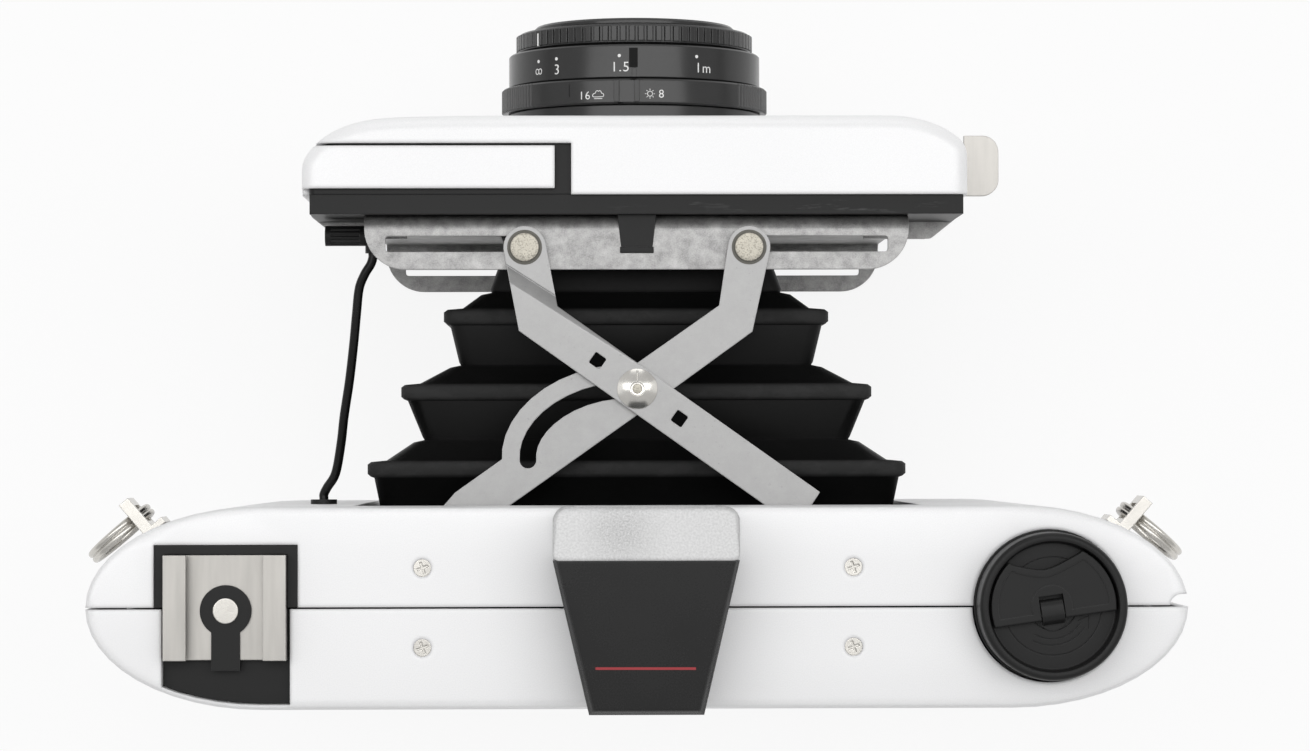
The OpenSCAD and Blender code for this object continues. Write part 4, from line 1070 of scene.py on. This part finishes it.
def makeMarks(v):
    up, w, sunk = v["rise"], v["stroke"], v["sunk"]
    scale, stops = [], []
    for words, height, at, name in v["text"]:
        (scale if name == "lens_barrel" else stops).append((flatText(words, height, up), at))
    for at in v["dots"]:
        scale.append((disc(0, 0, v["dot"], 18, sunk, up), at))
    at, size, stroke = v["endless"]
    for s in (-1, 1):
        loop = [(s * size * 0.5 + size * 0.5 * cos(2 * pi * i / 20), size * 0.6 * sin(2 * pi * i / 20))
            for i in range(20)]
        scale.append((closedRibbon(loop, stroke, sunk, up), at))
    cloud = smoothLine([(-0.9, -0.32), (-0.98, 0.0), (-0.72, 0.24), (-0.5, 0.3), (-0.38, 0.62), (-0.1, 0.7),
        (0.06, 0.56), (0.28, 0.72),
        (0.52, 0.52), (0.6, 0.26), (0.86, 0.2), (0.98, -0.06), (0.86, -0.34), (0.0, -0.38)], 3, True)
    stops.append((closedRibbon([tuple(p) for p in cloud], w, sunk, up), v["cloud"]))
    stops.append((ribbon([(-0.72, -0.68), (0.72, -0.68)], w, sunk, up), v["cloud"]))
    loop = [(0.44 * cos(2 * pi * i / 20), 0.44 * sin(2 * pi * i / 20)) for i in range(20)]
    stops.append((closedRibbon(loop, w, sunk, up), v["sun"]))
    for i in range(8):
        a = i * pi / 4
        ray = ribbon([(0.62 * cos(a), 0.62 * sin(a)), (0.86 * cos(a), 0.86 * sin(a))], w, sunk, up)
        stops.append((ray, v["sun"]))
    return [added(*[wrapOn(bm, at, name) for bm, at in shapes])
        for shapes, name in ((scale, "lens_barrel"), (stops, "aperture_ring"))]


def markBar(entry, name, low, high):
    at, wide, long = entry
    return wrapOn(block((-wide / 2, wide / 2), (-long / 2, long / 2), (low, high)), at, name)


ringTrees = {}
scaleMarks, stopMarks = makeMarks(markValues)
indexBar = markBar(markValues["index"], "focus_ring", -0.3, 0.05)
tickBar = markBar(markValues["tick"], "aperture_ring", -0.05, 0.02)
for name, bm, material, body in (("distanceFigures", scaleMarks, whiteInk, "standard"),
        ("apertureFigures", stopMarks, whiteInk, "aperture_ring"),
        ("focusIndex", indexBar, whiteInk, "focus_ring"),
        ("apertureTick", tickBar, insideBlack, "aperture_ring")):
    makePiece(name, bm, material, body, smooth=20, even=False)
a, b, wide, long, proud = markValues["ribs"]
ribY, ribLow, ribTop = markValues["ribAt"]
ribs = []
for turn in (a, b):
    rib = block((-wide / 2, wide / 2), (ribY - long / 2, ribY + long / 2), (ribLow, ribTop + proud))
    rib = soften(rib, 0.14, 2)
    ribs.append(moved(rib, Matrix.Translation((0, 0, midZ)) @ Matrix.Rotation(radians(turn), 4, "Y")))
# the ribs use lensRim, whose lighter tone is a painted highlight
makePiece("indexRibs", added(*ribs), lensRim, "aperture_ring", smooth=30)
for name, key, top, edge, steps, material in (("focusStop", "stop", 0.06, 0.03, 1, insideBlack),
        ("focusStopSlot", "stopSlot", 0.14, 0.05, 2, lensBlack)):
    bar = soften(markBar(markValues[key], "lens_barrel", -0.3, top), edge, steps)
    makePiece(name, bar, material, "standard", smooth=20)
print("lens marks made")


# finder top: a plain red line, where the photographed one has its name
lineValues = {"from": (595.5, 668.6), "to": (696.0, 668.6), "width": 0.42, "rise": 0.03}


def makeFinderLine(v):
    tree = treeOf([nodes["finder_housing"]])
    a, b = onSurface(*v["from"], tree), onSurface(*v["to"], tree)
    return ribbon([a.xy, b.xy], v["width"], a.z - 0.01, a.z + v["rise"])


makePiece("finderLine", makeFinderLine(lineValues), redInk, "camera_body", smooth=20, even=False)
print("finder line made")


# floor and light
stageValues = {
    "floor": (0.80, 0.80, 0.80), "shown": 0.88, "world": 0.58, "aim": (0, -0.02, 0.05),
    "lamps": (("topLight", (2.3, 0.5), (0.0, -0.25, 1.25), 8.3),
    ("frontLight", (0.7, 0.7), (0, -1.2, 0.5), 1.6),
    ("leftLight", (0.7, 0.7), (1.1, -0.1, 0.6), 0.5),
    ("rightLight", (0.7, 0.7), (-1.1, -0.2, 0.6), 0.5)),
}


def makeStage(v):
    bm = bmesh.new()
    bmesh.ops.create_grid(bm, x_segments=1, y_segments=1, size=3)
    bmesh.ops.translate(bm, verts=bm.verts, vec=(0, 0, -0.0003))
    mesh = bpy.data.meshes.new("floor")
    bm.to_mesh(mesh)
    bm.free()
    floor = placed("floor", mesh)
    s = Shade("floorWhite", Roughness=0.9)
    s.feed(colour=v["floor"])
    path = s.tree.nodes.new("ShaderNodeLightPath")
    seen = Wire(s, path.outputs["Is Camera Ray"]) + Wire(s, path.outputs["Is Glossy Ray"]) + Wire(s,
        path.outputs["Is Transmission Ray"])
    glow = s.node("ShaderNodeEmission", None, {"Color": (1, 1, 1), "Strength": 1.0})
    both = s.node("ShaderNodeMixShader", None,
        [s.ramp(seen, 0, 1) * v["shown"], Wire(s, s.shader.outputs[0]), glow])
    s.tree.links.new(both.socket, s.out.inputs[0])
    floor.data.materials.append(s.material)
    world = bpy.data.worlds.new("softRoom")
    world.use_nodes = True
    tree = world.node_tree
    back = tree.nodes["Background"]
    back.inputs[0].default_value = (1, 1, 1, 1)
    back.inputs[1].default_value = v["world"]
    path = tree.nodes.new("ShaderNodeLightPath")
    white = tree.nodes.new("ShaderNodeBackground")
    white.inputs[1].default_value = 1.0
    add = tree.nodes.new("ShaderNodeMixShader")
    tree.links.new(path.outputs["Is Camera Ray"], add.inputs[0])
    tree.links.new(back.outputs[0], add.inputs[1])
    tree.links.new(white.outputs[0], add.inputs[2])
    tree.links.new(add.outputs[0], tree.nodes["World Output"].inputs[0])
    bpy.context.scene.world = world
    for name, (wide, deep), place, power in v["lamps"]:
        data = bpy.data.lights.new(name, "AREA")
        data.shape, data.size, data.size_y, data.energy = "RECTANGLE", wide, deep, power
        lamp = placed(name, data)
        lamp.location = place
        lamp.rotation_euler = (Vector(v["aim"]) - Vector(place)).to_track_quat("-Z", "Y").to_euler()


makeStage(stageValues)
bpy.context.scene.view_settings.view_transform = "Standard"
print("stage set")

# image points: edges of the whole object and places of features, in the photograph's frame
imagePoints = {
    "objectLeft": (85.3, None), "objectRight": (1189.6, None), "objectTop": (None, 18.7),
    "objectBottom": (None, 716.5),
    "coverLeft": (301.0, None), "leverRight": (998.1, None), "bellowsLeft": (366.6, None),
    "bellowsRight": (907.0, None),
    "screwLeftFront": (422.0, 569.0), "screwLeftBack": (424.0, 648.0), "screwRightFront": (852.5, 567.0),
    "screwRightBack": (854.5, 646.5),
    "knob": (1053.3, 607.4), "shoeContact": (225.5, 609.7), "rivetLeft": (524.8, 245.5),
    "rivetRight": (749.0, 244.6),
    "rivetMiddle": (638.6, 389.4), "figureThree": (557.0, 70.0), "redLine": (645.8, 668.6),
    "ringTip": (92.0, 557.0),
}


# the finished vertices of some pieces that the camera sees, near a point where one is given
def shownPoints(objects, near=None, reach=None):
    eye = camera.matrix_world.translation
    out = []
    for o in objects:
        for vert in finished(o).vertices:
            p = o.matrix_world @ vert.co
            x, y = toImage(p)
            if near and (x - near[0]) ** 2 + (y - near[1]) ** 2 > reach ** 2:
                continue
            way = p - eye
            hit = wholeTree.ray_cast(eye, way.normalized())[0]
            if hit is None or (hit - eye).length > way.length - 0.0004:
                out.append((x, y))
    return out


def offsetsOf(points):
    made = bpy.data.objects
    shown = {name: shownPoints([made[name]])
        for name in ("coverShell", "bellowsSkin", "shutter_lever", "advanceKnob", "shoe_contact",
        "frontRivetATop", "frontRivetBTop", "crossRivetTop", "finderLine")}
    whole = shownPoints(wholeObjects)
    spots = {"knob": "advanceKnob", "shoeContact": "shoe_contact", "rivetLeft": "frontRivetATop",
        "rivetRight": "frontRivetBTop",
        "rivetMiddle": "crossRivetTop", "redLine": "finderLine"}
    found = {}
    for name, (x, y) in points.items():
        if name in spots:
            near = shown[spots[name]]
        elif name.startswith("screw"):
            near = shownPoints([made["case_screws"], made["door_screws"]], (x, y), 22)
        elif name == "figureThree":
            near = shownPoints([made["distanceFigures"]], (x, y), 7.5)
        elif name == "ringTip":
            near = shownPoints([made["ring_left"]])
            found[name] = (min(near)[0] - x, min(near)[1] - y)
            continue
        else:
            group = {"cover": "coverShell", "lever": "shutter_lever", "bellows": "bellowsSkin"}
            near = next((shown[g] for k, g in group.items() if name.startswith(k)), whole)
            pick = min if name.endswith(("Left", "Top")) else max
            if name in ("objectLeft", "objectRight"):
                near = shownPoints([made["front_shell"], made["back_door"]])
            found[name] = (pick(p[0] for p in near) - x if x else None,
                pick(p[1] for p in near) - y if y else None)
            continue
        xs, ys = [p[0] for p in near], [p[1] for p in near]
        found[name] = ((min(xs) + max(xs)) / 2 - x, (min(ys) + max(ys)) / 2 - y) if near else (None, None)
    return found


replaced = {n for n, o in nodes.items() if o.hide_render}
wholeObjects = [o for o in bpy.context.scene.objects if o.type == "MESH" and o.name != "floor"
    and o.name not in replaced]
wholeTree = treeOf(wholeObjects)
offsets = offsetsOf(imagePoints)
print("image points measured")
